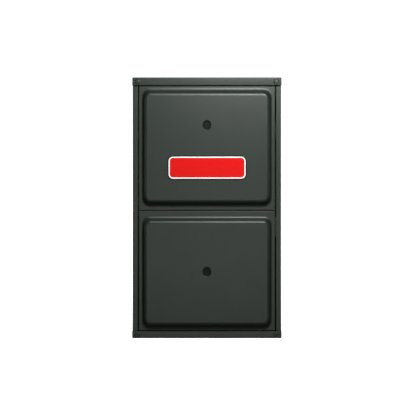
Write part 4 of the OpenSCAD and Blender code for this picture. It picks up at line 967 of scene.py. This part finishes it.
def flat_ring(name, slot, outline, width, y_front, y_back, edge):
    """A ring facing the front, with rounded edges outside and inside. outline is for rounded()."""
    x0, x1, z0, z1, rx, rz = outline

    def shrunk(d):
        return rounded(x0 + d, x1 - d, z0 + d, z1 - d, rx - d, rz - d)

    rings = [facing_front(shrunk(0), y_back)]
    for turn, drop in arc(EDGE_STEPS):
        rings.append(facing_front(shrunk(edge * drop), y_front + edge * (1 - turn)))
    for turn, drop in arc(EDGE_STEPS):
        rings.append(facing_front(shrunk(width - edge * (1 - turn)), y_front + edge * drop))
    rings.append(facing_front(shrunk(width), y_back))
    sheet = Sheet()
    first, last = sheet.loft(rings)
    sheet.bridge(last, first)
    return sheet.piece(name, slot, (0, -1, 0))


class FURNACE_OT_nameplate(bpy.types.Operator):
    """Builds the blank nameplate: a dark backing that is both the plate's dark outline and painted
    shadow round it, a light border and a red face
    """

    bl_idname = "furnace.nameplate"
    bl_label = "Nameplate"

    def execute(self, context):
        s = context.scene.furnace_nameplate
        low, high = NAMEPLATE
        base_low, base_high = NAMEPLATE_BASE
        grow = low.x - base_low.x
        outline = (low.x, high.x, low.z, high.z, s.radius, s.radius)
        # The dark backing stands for the plate's dark outline and also paints the shadow round the
        # plate.
        backing_and_shadow = (base_low.x, base_high.x, base_low.z, base_high.z,
                   s.radius + grow, s.radius + grow)
        face = (low.x + s.border, high.x - s.border, low.z + s.border, high.z - s.border,
                s.radius - s.border, s.radius - s.border)
        stand(slab("nameplate_backing", "black_plastic", backing_and_shadow, base_low.y, base_high.y, s.edge),
              "upper_door", "nameplate_base")
        stand(flat_ring("nameplate_rim", "white_plastic", outline, s.border, low.y, base_low.y,
                        s.edge),
              "upper_door", "nameplate_border")
        stand(slab("nameplate_panel", "nameplate_red", face, low.y + PANEL_SUNK, base_low.y,
                   PANEL_EDGE),
              "upper_door", "nameplate_face")
        return {"FINISHED"}


# ---- sight ports ----

PANE_EDGE = 0.4 * MM            # rounding of a pane's edge
GASKET_WIDTH = 2.5 * MM         # width of the rubber round a pane
GASKET_EDGE = 0.5 * MM          # rounding of its edges
GASKET_GAP = 0.05 * MM          # between the rubber and the pane, and behind the pane's face


class FURNACE_OT_sight_ports(bpy.types.Operator):
    """Builds the panes and the rubber gaskets of the sight ports"""

    bl_idname = "furnace.sight_ports"
    bl_label = "Sight ports"

    def execute(self, context):
        for door_name, corners in (("upper", UPPER_GLASS), ("lower", LOWER_GLASS)):
            low, high = corners
            body = door_name + "_door"
            half_x, half_z = (high.x - low.x) / 2, (high.z - low.z) / 2
            outline = (low.x, high.x, low.z, high.z, half_x, half_z)
            stand(slab(door_name + "_pane", "dark_glass", outline, low.y, high.y, PANE_EDGE),
                  body, door_name + "_sight_glass")
            grow = GASKET_WIDTH
            ring = (low.x - grow, high.x + grow, low.z - grow, high.z + grow,
                    half_x + grow, half_z + grow)
            gasket = flat_ring(door_name + "_gasket", "rubber_black", ring, grow - GASKET_GAP,
                               low.y + GASKET_GAP, high.y, GASKET_EDGE)
            stand(gasket, body, door_name + "_sight_gasket")
        return {"FINISHED"}


# ---- geometry nodes ----


class Tree(Graph):
    """A Geometry Nodes tree with named inputs, which ends in Realize Instances and Set Material."""

    KINDS = {"length": "NodeSocketFloat", "count": "NodeSocketInt",
             "material": "NodeSocketMaterial"}

    def __init__(self, name):
        super().__init__(bpy.data.node_groups.new(name, "GeometryNodeTree"))
        self.interface = self.tree.interface
        self.identifiers = {}
        self.interface.new_socket("Geometry", in_out="INPUT", socket_type="NodeSocketGeometry")
        self.interface.new_socket("Geometry", in_out="OUTPUT", socket_type="NodeSocketGeometry")
        self.group_in = self.add("NodeGroupInput")
        self.group_out = self.add("NodeGroupOutput")

    def input(self, name, kind, default=None):
        """A named input of the tree, and the socket that gives its value."""
        socket = self.interface.new_socket(name, in_out="INPUT", socket_type=self.KINDS[kind])
        if default is not None:
            socket.default_value = default
        self.identifiers[name] = socket.identifier
        return self.group_in.outputs[name]

    def end(self, geometry, material):
        """Ends the tree, with the geometry made real and the material set."""
        whole = self.add("GeometryNodeRealizeInstances", {"Geometry": geometry})
        painted = self.add("GeometryNodeSetMaterial",
                           {"Geometry": whole.outputs[0], "Material": material})
        self.put(self.group_out.inputs[0], painted.outputs[0])

    def make(self, name, host, slot, values):
        """Runs the tree on the host mesh and gives its result as a plain piece."""
        draft = bpy.data.objects.new(name + "_draft", host)
        bpy.context.scene.collection.objects.link(draft)
        modifier = draft.modifiers.new("build", "NODES")
        modifier.node_group = self.tree
        for key, value in {**values, "Material": finish_of(slot)}.items():
            modifier[self.identifiers[key]] = value
        piece = plain(draft, name, slot)
        piece.data.set_sharp_from_angle(angle=SHARP_BUILT)
        return piece


def place_mesh(name, places, facings):
    """A mesh of loose points, each with the direction that it faces."""
    mesh = bpy.data.meshes.new(name)
    mesh.from_pydata([tuple(p) for p in places], [], [])
    facing = mesh.attributes.new("facing", "FLOAT_VECTOR", "POINT")
    facing.data.foreach_set("vector", [c for f in facings for c in f])
    return mesh


STRAIGHT = 0.45                 # part of a head's height that has straight sides
FLAT_TOP = 0.62                 # radius of a head's flat top, as a part of the head's
SHOULDER_STEPS = 5              # steps of the dome between the two
SLOT_LENGTH = 2.0               # length of a recess's arms across, as a part of its size
SLOT_WIDTH = 0.36               # and their width
SLOT_RISE = 0.08                # how far the middle of the cut lies above the head
LEAST_RECESS = 0.1 * MM         # smaller recesses are left out
ROUND_SIDES = 32                # faces round a washer or a round head
RING_SIDES = (40, 8)            # faces round a ring, and round its section
HEX_SIDES = 6


def cylinder(t, count, radius, depth):
    """A cylinder that stands on the ground: its geometry and the selection of its top."""
    node = t.add("GeometryNodeMeshCylinder", {"Vertices": count, "Radius": radius, "Depth": depth})
    up = t.add("ShaderNodeCombineXYZ", {"Z": t.maths("MULTIPLY", depth, 0.5)})
    moved = t.add("GeometryNodeTransform", {"Geometry": node.outputs["Mesh"],
                                            "Translation": up.outputs[0]})
    return moved.outputs[0], node.outputs["Top"]


def domed_head(t, sides, radius, height):
    """A head with straight sides below and a domed shoulder up to its flat top."""
    head, top = cylinder(t, sides, radius, t.maths("MULTIPLY", height, STRAIGHT))
    shoulder = [math.pi / 2 * k / SHOULDER_STEPS for k in range(SHOULDER_STEPS + 1)]
    widths = [FLAT_TOP + (1 - FLAT_TOP) * math.cos(a) for a in shoulder]
    rises = [(1 - STRAIGHT) * math.sin(a) for a in shoulder]
    for k in range(SHOULDER_STEPS):
        raised = t.add("GeometryNodeExtrudeMesh", {
            "Mesh": head, "Selection": top, "Individual": False,
            "Offset Scale": t.maths("MULTIPLY", height, rises[k + 1] - rises[k])})
        shrunk = t.add("GeometryNodeScaleElements", {
            "Geometry": raised.outputs["Mesh"], "Selection": raised.outputs["Top"],
            "Scale": widths[k + 1] / widths[k]})
        head, top = shrunk.outputs[0], raised.outputs["Top"]
    return head


def recessed(t, head, height, recess):
    """The head with a cross recess, or as it is if the recess is too small."""
    cut = t.add("GeometryNodeMeshBoolean", operation="DIFFERENCE")
    t.put(cut.inputs["Mesh 1"], head)
    rise = t.maths("ADD", height, t.maths("MULTIPLY", recess, SLOT_RISE))
    for turn in (45.0, 135.0):
        size = t.add("ShaderNodeCombineXYZ", {"X": t.maths("MULTIPLY", recess, SLOT_LENGTH),
                                              "Y": t.maths("MULTIPLY", recess, SLOT_WIDTH),
                                              "Z": recess})
        bar = t.add("GeometryNodeMeshCube", {"Size": size.outputs[0]})
        at = t.add("ShaderNodeCombineXYZ", {"Z": rise})
        cutter = t.add("GeometryNodeTransform", {
            "Geometry": bar.outputs["Mesh"], "Translation": at.outputs[0],
            "Rotation": (0.0, 0.0, math.radians(turn))})
        t.put(cut.inputs["Mesh 2"], cutter.outputs[0])
    deep = t.add("FunctionNodeCompare", data_type="FLOAT", operation="GREATER_THAN")
    t.put(deep.inputs[0], recess)
    t.put(deep.inputs[1], LEAST_RECESS)
    chosen = t.add("GeometryNodeSwitch", {"Switch": deep.outputs[0], "False": head,
                                          "True": cut.outputs[0]}, input_type="GEOMETRY")
    return chosen.outputs[0]


def head_ring(t, radius, width, head_radius):
    """A thin ring round the head, or nothing if its radius isn't above the head's."""
    ring = t.add("GeometryNodeCurvePrimitiveCircle", {"Resolution": RING_SIDES[0],
                                                      "Radius": radius})
    bead = t.add("GeometryNodeCurvePrimitiveCircle", {"Resolution": RING_SIDES[1],
                                                      "Radius": width})
    ringed = t.add("GeometryNodeCurveToMesh", {"Curve": ring.outputs[0],
                                               "Profile Curve": bead.outputs[0]})
    wide = t.add("FunctionNodeCompare", data_type="FLOAT", operation="GREATER_THAN")
    t.put(wide.inputs[0], radius)
    t.put(wide.inputs[1], head_radius)
    shown = t.add("GeometryNodeSwitch", {"Switch": wide.outputs[0], "True": ringed.outputs[0]},
                  input_type="GEOMETRY")
    return shown.outputs[0]


def screw_turn(t, seed):
    """Each screw's rotation: up along its point's facing, and turned by a random angle."""
    facing = t.add("GeometryNodeInputNamedAttribute", {"Name": "facing"},
                   data_type="FLOAT_VECTOR")
    aligned = t.add("FunctionNodeAlignRotationToVector", {"Vector": facing.outputs[0]}, axis="Z")
    spin = t.add("FunctionNodeRandomValue", {"Seed": seed}, data_type="FLOAT")
    t.put(spin.inputs[2], 0.0)
    t.put(spin.inputs[3], math.pi)
    about = t.add("FunctionNodeAxisAngleToRotation", {"Axis": (0.0, 0.0, 1.0),
                                                      "Angle": spin.outputs[1]})
    turned = t.add("FunctionNodeRotateRotation", {"Rotation": aligned.outputs[0],
                                                  "Rotate By": about.outputs[0]},
                   rotation_space="LOCAL")
    return turned.outputs[0]


def screw_tree():
    """Screws on points: washer face, domed head with any number of sides, and a cross recess.

    A ring radius above the head's adds a thin ring round the head, with a groove between them.
    """
    t = Tree("screws")
    head_r = t.input("Head radius", "length", 4 * MM)
    head_h = t.input("Head height", "length", 2 * MM)
    sides = t.input("Sides", "count", HEX_SIDES)
    washer_r = t.input("Washer radius", "length", 5 * MM)
    washer_h = t.input("Washer height", "length", 0.6 * MM)
    recess = t.input("Recess", "length", 2 * MM)
    ring_r = t.input("Ring radius", "length", 0.0)
    ring_w = t.input("Ring width", "length", 0.5 * MM)
    seed = t.input("Seed", "count", 7)
    material = t.input("Material", "material")

    washer, _ = cylinder(t, ROUND_SIDES, washer_r, washer_h)
    head = recessed(t, domed_head(t, sides, head_r, head_h), head_h, recess)
    ring = head_ring(t, ring_r, ring_w, head_r)
    joined = t.add("GeometryNodeJoinGeometry")
    for part in (washer, head, ring):
        t.put(joined.inputs[0], part)
    copies = t.add("GeometryNodeInstanceOnPoints", {
        "Points": t.group_in.outputs["Geometry"], "Instance": joined.outputs[0],
        "Rotation": screw_turn(t, seed)})
    t.end(copies.outputs[0], material)
    return t


FRONT = (0.0, -1.0, 0.0)
SCREW_TREE = {}                 # holds the tree once it is made


def screws(name, places, facings, slot, seed, **sizes):
    """A piece of like screws, one at each place."""
    if not SCREW_TREE:
        SCREW_TREE["tree"] = screw_tree()
    values = {key.replace("_", " ").capitalize(): value for key, value in sizes.items()}
    return SCREW_TREE["tree"].make(name, place_mesh(name + "_places", places, facings), slot,
                                   {**values, "Seed": seed})


CAP_SCREW_X = 233.6 * MM                                # to each side of the middle line
CAP_SCREW_Z = (TOP_CAP[1].z - 15.2 * MM, 10.9 * MM)     # heights in the top's and the base's band
CAP_WASHER = 0.5 * MM                                   # height of the flange under those heads
CAP_RECESS = 2.7 * MM                                   # size of their cross recess
CAP_RING_WIDTH = 1.1 * MM                               # radius of the ring's section

BACK_SCREWS_IN = 11 * MM        # from the back panel's face to the screws near it
BACK_SCREW_HEIGHTS = range(60, 811, 150)                # millimetres
DECK_SCREWS_BELOW = 13 * MM     # from the deck's top down to the screws that hold it
DECK_SCREW_PLACES = (-270, -60, 150)                    # millimetres, from front to back
HEX_WASHER = 0.6 * MM           # thickness of the casing screws' washers


def cap_screws():
    """The four domed screws in the corners of the two bands."""
    s = bpy.context.scene.furnace_screws
    fronts = (TOP_CAP[0].y, BASE_TRAY[0].y)
    places = [(x, y, z) for x in (-CAP_SCREW_X, CAP_SCREW_X) for y, z in zip(fronts, CAP_SCREW_Z)]
    piece = screws("cap_screw_heads", places, [FRONT] * len(places), "cabinet_paint", seed=3,
                   head_radius=s.cap_radius, head_height=s.cap_height, sides=ROUND_SIDES,
                   washer_radius=s.cap_radius, washer_height=CAP_WASHER, recess=CAP_RECESS,
                   ring_radius=s.cap_ring, ring_width=CAP_RING_WIDTH)
    stand(piece, "casing", "cap_screws")


def casing_screws():
    """The hexagon screws in the sides that hold the back panel and the blower's deck."""
    s = bpy.context.scene.furnace_screws
    wall_x = RIGHT_PANEL[1].x
    back = [(BACK_PANEL[1].y - BACK_SCREWS_IN, z * MM) for z in BACK_SCREW_HEIGHTS]
    deck = [(y * MM, DECK[1].z - DECK_SCREWS_BELOW) for y in DECK_SCREW_PLACES]
    places = [(side * wall_x, y, z) for side in (-1, 1) for y, z in back + deck]
    facings = [(math.copysign(1.0, p[0]), 0.0, 0.0) for p in places]
    piece = screws("casing_screw_heads", places, facings, "bare_steel", seed=5,
                   head_radius=s.hex_radius, head_height=s.hex_height, sides=HEX_SIDES,
                   washer_radius=s.washer, washer_height=HEX_WASHER, recess=0.0)
    stand(piece, "casing", "casing_screws")


class FURNACE_OT_screws(bpy.types.Operator):
    """Sets the screws of the caps and of the casing"""

    bl_idname = "furnace.screws"
    bl_label = "Screws"

    def execute(self, context):
        cap_screws()
        casing_screws()
        return {"FINISHED"}


# ---- wires and hose ----


def smooth(points, steps=6):
    """A smooth curve through the points."""
    path = []
    for i in range(len(points) - 1):
        a = points[max(i - 1, 0)]
        b, c = points[i], points[i + 1]
        d = points[min(i + 2, len(points) - 1)]
        for k in range(steps):
            t = k / steps
            path.append(0.5 * (2 * b + (c - a) * t + (2 * a - 5 * b + 4 * c - d) * t * t
                               + (3 * b - a - 3 * c + d) * t * t * t))
    return path + [points[-1]]


def path_mesh(name, paths, colours):
    """A mesh of open lines, each with its own colour."""
    points, edges, tints = [], [], []
    for path, tint in zip(paths, colours):
        start = len(points)
        points += [tuple(p) for p in path]
        edges += [(i, i + 1) for i in range(start, len(points) - 1)]
        tints += [c for _ in path for c in (*tint, 1.0)]
    mesh = bpy.data.meshes.new(name)
    mesh.from_pydata(points, edges, [])
    attribute = mesh.attributes.new("wire_colour", "FLOAT_COLOR", "POINT")
    attribute.data.foreach_set("color", tints)
    return mesh


def tube_tree():
    """Round tubes along lines, with closed ends."""
    t = Tree("tubes")
    radius = t.input("Radius", "length", WIRE_RADIUS)
    sides = t.input("Sides", "count", WIRE_SIDES)
    material = t.input("Material", "material")
    line = t.add("GeometryNodeMeshToCurve", {"Mesh": t.group_in.outputs["Geometry"]})
    ring = t.add("GeometryNodeCurvePrimitiveCircle", {"Resolution": sides, "Radius": radius})
    tube = t.add("GeometryNodeCurveToMesh", {"Curve": line.outputs[0],
                                             "Profile Curve": ring.outputs[0], "Fill Caps": True})
    soft = t.add("GeometryNodeSetShadeSmooth", {"Geometry": tube.outputs[0]})
    t.end(soft.outputs[0], material)
    return t


WIRE_RADIUS = 2 * MM
WIRE_SIDES = 12
HOSE_RADIUS = 4 * MM
HOSE_SIDES = 16

RED = (0.42, 0.020, 0.016)
BLUE = (0.020, 0.060, 0.30)
YELLOW = (0.62, 0.44, 0.030)
BROWN = (0.120, 0.050, 0.022)
WHITE = (0.62, 0.61, 0.57)
BLACK = (0.016, 0.016, 0.017)
ORANGE = (0.60, 0.16, 0.014)

WIRE_ROUTES = {  # from the control board or the transformer to what it feeds, in millimetres
    "gas_valve": (YELLOW, [
        (-52, -258, 283.2), (-54, -264, 300), (-84, -290, 322), (-106, -296, 350),
        (-109, -294, 400), (-110, -290, 430), (-112, -290, 500), (-120, -296, 560),
        (-140, -300, 586), (-151.8, -300, 590)]),
    "pressure_switch": (ORANGE, [
        (-26, -258, 283.2), (-30, -268, 302), (-80, -300, 326), (-101, -302, 356),
        (-103, -298, 400), (-105, -290, 430), (-100, -270, 500), (-84, -228, 570),
        (-75.5, -202, 609.8)]),
    "inducer_motor": (BROWN, [
        (-26, -250, 283.2), (-32, -262, 310), (-78, -304, 330), (-104, -309, 352),
        (-112, -305, 400), (-115, -294, 430), (-96, -290, 462), (-20, -284, 474),
        (30, -288, 494), (53.4, -290, 521)]),
    "door_switch": (RED, [
        (26, -258, 283.2), (30, -268, 300), (80, -296, 350), (130, -298, 388),
        (144.5, -299, 410.8)]),
    "junction_box": (BLACK, [
        (52, -258, 283.2), (60, -266, 298), (100, -264, 304), (150, -240, 330),
        (190, -214, 358), (203, -216, 371), (204, -231, 372)]),
    "transformer": (BLUE, [
        (-66, -262, 342.9), (-66, -266, 326), (-60, -262, 304), (-56, -250, 285)]),
    "blower_motor": (WHITE, [
        (-65.2, -256, 236), (-84, -258, 236), (-130, -242, 232), (-172, -120, 240),
        (-182, 20, 244), (-178, 80, 242), (-168, 104, 240), (-154.2, 110, 240)]),
}

HOSE_ROUTE = [  # from the pressure switch to the inducer, in millimetres
    (-50, -207, 615), (-50, -222, 615), (-47, -240, 613), (-36, -258, 606), (-12, -272, 594),
    (18, -279, 582), (44, -278, 573), (57, -273, 571), (61, -265, 570.2), (61, -257, 570.2)]


def in_metres(route):
    """The route's points in metres."""
    return [Vector(p) * MM for p in route]


class FURNACE_OT_wires(bpy.types.Operator):
    """Runs the wires and the pressure hose along their routes"""

    bl_idname = "furnace.wires"
    bl_label = "Wires and hose"

    def execute(self, context):
        tree = tube_tree()
        routes = list(WIRE_ROUTES.values())
        paths = [smooth(in_metres(route)) for _, route in routes]
        host = path_mesh("wire_lines", paths, [tint for tint, _ in routes])
        wires = tree.make("wires", host, "wire_insulation",
                          {"Radius": WIRE_RADIUS, "Sides": WIRE_SIDES})
        stand(wires, "casing", "wiring_harness")
        host = path_mesh("hose_line", [smooth(in_metres(HOSE_ROUTE))], [BLACK])
        hose = tree.make("hose", host, "rubber_black",
                         {"Radius": HOSE_RADIUS, "Sides": HOSE_SIDES})
        stand(hose, "casing", "pressure_hose")
        return {"FINISHED"}


# ---- finishes of the frame's own nodes ----

GAP_SHADE_FINISH = {"blower_deck": "cabinet_paint"}   # its front edge shows between the doors: dark paint in place of zinc there is painted shade, so that gap reads dark


class FURNACE_OT_finishes(bpy.types.Operator):
    """Gives each node of the frame that still shows its finish"""

    bl_idname = "furnace.finishes"
    bl_label = "Finishes"

    def execute(self, context):
        for part in frame["record"]["subparts"]:
            node = frame["nodes"][part["node"]]
            if node.hide_render:
                continue
            # The blower deck takes dark paint as painted shade in the gap between the doors.
            finish = GAP_SHADE_FINISH.get(part["node"], part["material_slot"])
            for slot in node.material_slots:
                slot.material = finish_of(finish)
        return {"FINISHED"}


# ---- stage ----

PHOTO_WIDTH = 416
PHOTO_CENTRE = (206.9, 208.0)   # pixel of the cabinet's middle line and of the camera's height
PHOTO_FLOOR = 338.3             # pixel row of the cabinet's lower edge
SENSOR = 36.0                   # millimetres
FRONT_Y = CAD_BOX[0].y + 20 * MM    # the depth of the doors' flat margins

GROUND_HALF = 7.0               # half the ground's width, and its reach to the front
BACKDROP_START = 3.2            # where the ground starts to bend up behind the furnace
BACKDROP_BEND = 1.2             # radius of that bend
BACKDROP_STEPS = 10
BACKDROP_HEIGHT = 6.0
GROUND_WHITE = (0.86, 0.86, 0.86)
GROUND_DIM = (0.16, 0.16, 0.16)
GROUND_GLOW = 0.8
UNDER_SIDE = 10 * MM            # the glow stops this far inside the furnace's sides
UNDER_FRONT = 30 * MM           # and this far inside its front and back

KEY_SPOT = (0.22, -1.16, 1.28)
KEY_TARGET = (0.11, FRONT_Y, 0.60)
KEY_SIZE = (0.60, 0.30)         # a light's width and height
LOW_SPOT = (0.10, -2.60, 0.25)
LOW_SIZE = (1.6, 0.4)
OVERHEAD_WAY = (10, 70)         # azimuth and elevation, in degrees
OVERHEAD_DISTANCE = 2.8
OVERHEAD_SIZE = (1.4, 0.9)
SIDE_AZIMUTH = 115
BACK_AZIMUTH = 150
ROUND_ELEVATION = 8             # of the side and back lights
ROUND_DISTANCE = 4.2
ROUND_SIZE = (2.4, 1.2)


def ground_material(name, white, dim, glow):
    """Pale matte ground that glows evenly towards the camera, but not under the furnace.

    dim is its colour towards the furnace, which keeps the walls that face down dark.
    """
    f = Finish(name, specular=0.1)
    clouds = f.noise(0.8, 3.0)
    seen = f.add("ShaderNodeLightPath").outputs["Is Camera Ray"]
    axes = f.add("ShaderNodeSeparateXYZ", {"Vector": f.place}).outputs
    across = f.maths("LESS_THAN", f.maths("ABSOLUTE", axes["X"]), CAD_BOX[1].x - UNDER_SIDE)
    along = f.maths("LESS_THAN", f.maths("ABSOLUTE", axes["Y"]), CAD_BOX[1].y - UNDER_FRONT)
    outside = f.maths("SUBTRACT", 1.0, f.maths("MULTIPLY", across, along))
    f.put(f.shader.inputs["Emission Color"], (1.0, 1.0, 1.0, 1.0))
    f.put(f.shader.inputs["Emission Strength"],
          f.maths("MULTIPLY", f.maths("MULTIPLY", seen, outside), glow))
    pale = f.blend(clouds, lighter(white, 0.99), white)
    return f.done(f.blend(seen, dim, pale), f.spread(clouds, 0.0, 1.0, 0.8, 0.9))


def studio_ground():
    """The ground, bent up into a backdrop behind the furnace."""
    sheet = Sheet()
    curve = [(-GROUND_HALF, 0.0), (BACKDROP_START, 0.0)]
    curve += [(BACKDROP_START + BACKDROP_BEND * turn, BACKDROP_BEND * drop)
              for turn, drop in arc(BACKDROP_STEPS)][1:]
    curve.append((BACKDROP_START + BACKDROP_BEND, BACKDROP_HEIGHT))
    rows = [sheet.ring([(x, y, z) for x in (-GROUND_HALF, GROUND_HALF)]) for y, z in curve]
    for a, b in zip(rows, rows[1:]):
        sheet.bm.faces.new((a[0], a[1], b[1], b[0]))
    mesh = bpy.data.meshes.new("studio_ground")
    sheet.bm.to_mesh(mesh)
    sheet.bm.free()
    mesh.shade_smooth()
    ground = bpy.data.objects.new("studio_ground", mesh)
    bpy.context.scene.collection.objects.link(ground)
    mesh.materials.append(ground_material("studio_white", GROUND_WHITE, GROUND_DIM, GROUND_GLOW))


def studio_air(strength):
    """White all round for the camera, and a faint even light for the furnace."""
    world = bpy.data.worlds.new("studio_air")
    world.use_nodes = True
    g = Graph(world.node_tree)
    air = g.tree.nodes["Background"]
    seen = g.add("ShaderNodeLightPath").outputs["Is Camera Ray"]
    g.put(air.inputs["Color"], (1.0, 1.0, 1.0, 1.0))
    g.put(air.inputs["Strength"], g.maths("MAXIMUM", seen, strength))
    bpy.context.scene.world = world


def direction(azimuth, elevation):
    """The way towards a place round the furnace: azimuth 0 is the front, 90 the right."""
    a, e = math.radians(azimuth), math.radians(elevation)
    return Vector((math.sin(a) * math.cos(e), -math.cos(a) * math.cos(e), math.sin(e)))


def area_light(name, spot, target, size, watts):
    """A soft light at spot that looks at target."""
    data = bpy.data.lights.new(name, "AREA")
    data.shape = "RECTANGLE"
    data.size, data.size_y = size
    data.energy = watts
    lamp = bpy.data.objects.new(name, data)
    lamp.location = Vector(spot)
    lamp.rotation_euler = (Vector(spot) - Vector(target)).to_track_quat("Z", "Y").to_euler()
    lamp.visible_camera = False
    bpy.context.scene.collection.objects.link(lamp)


def studio_lights(s):
    """A compact light close to the doors, wide ones below and above, and four round the sides."""
    middle = Vector((0.0, FRONT_Y, CENTRE.z))
    above = middle + direction(*OVERHEAD_WAY) * OVERHEAD_DISTANCE
    area_light("key", KEY_SPOT, KEY_TARGET, KEY_SIZE, s.key)
    area_light("low", LOW_SPOT, middle, LOW_SIZE, s.low)
    area_light("overhead", above, middle, OVERHEAD_SIZE, s.overhead)
    for name, azimuth, watts in (("left", -SIDE_AZIMUTH, s.side), ("right", SIDE_AZIMUTH, s.side),
                                 ("back_left", -BACK_AZIMUTH, s.back),
                                 ("back_right", BACK_AZIMUTH, s.back)):
        spot = CENTRE + direction(azimuth, ROUND_ELEVATION) * ROUND_DISTANCE
        area_light(name, spot, CENTRE, ROUND_SIZE, watts)


def photo_camera(s):
    """The camera, placed so that the doors have the photograph's size and place in the picture."""
    data = bpy.data.cameras.new("photo_camera")
    data.sensor_width = SENSOR
    data.lens = s.lens
    data.dof.use_dof = False
    data.clip_end = 100.0
    camera = bpy.data.objects.new("photo_camera", data)
    distance = PHOTO_WIDTH * s.pixel * s.lens / SENSOR
    across = (PHOTO_WIDTH / 2 - PHOTO_CENTRE[0]) * s.pixel
    height = (PHOTO_FLOOR - PHOTO_CENTRE[1]) * s.pixel
    camera.location = (across, FRONT_Y - distance, height)
    camera.rotation_euler = (math.pi / 2, 0.0, 0.0)
    bpy.context.scene.collection.objects.link(camera)
    bpy.context.scene.camera = camera


class FURNACE_OT_stage(bpy.types.Operator):
    """Sets the floor, the backdrop, the light and the camera"""

    bl_idname = "furnace.stage"
    bl_label = "Stage"

    def execute(self, context):
        s = context.scene.furnace_stage
        studio_ground()
        studio_air(s.air)
        studio_lights(s)
        photo_camera(s)
        context.scene.view_settings.view_transform = "Standard"
        return {"FINISHED"}


# ---- panel and registration ----


class FURNACE_PT_build(bpy.types.Panel):
    """Buttons for each group of pieces, and their settings"""

    bl_idname = "FURNACE_PT_build"
    bl_label = "Furnace"
    bl_space_type = "VIEW_3D"
    bl_region_type = "UI"
    bl_category = "Furnace"

    def draw(self, context):
        for operator in OPERATORS:
            self.layout.operator(operator.bl_idname)
        for name in SETTINGS:
            group = getattr(context.scene, name)
            box = self.layout.box()
            for key in group.bl_rna.properties.keys():
                if key not in ("rna_type", "name"):
                    box.prop(group, key)


OPERATORS = (
    FURNACE_OT_stage,
    FURNACE_OT_doors,
    FURNACE_OT_caps,
    FURNACE_OT_panels,
    FURNACE_OT_nameplate,
    FURNACE_OT_sight_ports,
    FURNACE_OT_screws,
    FURNACE_OT_wires,
    FURNACE_OT_finishes,
)


def register():
    """Adds the settings, the operators and the panel."""
    for settings in SETTINGS.values():
        bpy.utils.register_class(settings)
    for name, settings in SETTINGS.items():
        setattr(bpy.types.Scene, name, bpy.props.PointerProperty(type=settings))
    for cls in (*OPERATORS, FURNACE_PT_build):
        bpy.utils.register_class(cls)


def unregister():
    """Takes them out again."""
    for cls in (FURNACE_PT_build, *reversed(OPERATORS)):
        bpy.utils.unregister_class(cls)
    for name in SETTINGS:
        delattr(bpy.types.Scene, name)
    for settings in reversed(list(SETTINGS.values())):
        bpy.utils.unregister_class(settings)


def main():
    """Builds the whole scene."""
    register()
    for operator in OPERATORS:
        name = operator.bl_idname.split(".")[1]
        getattr(bpy.ops.furnace, name)()


if __name__ == "__main__":
    main()
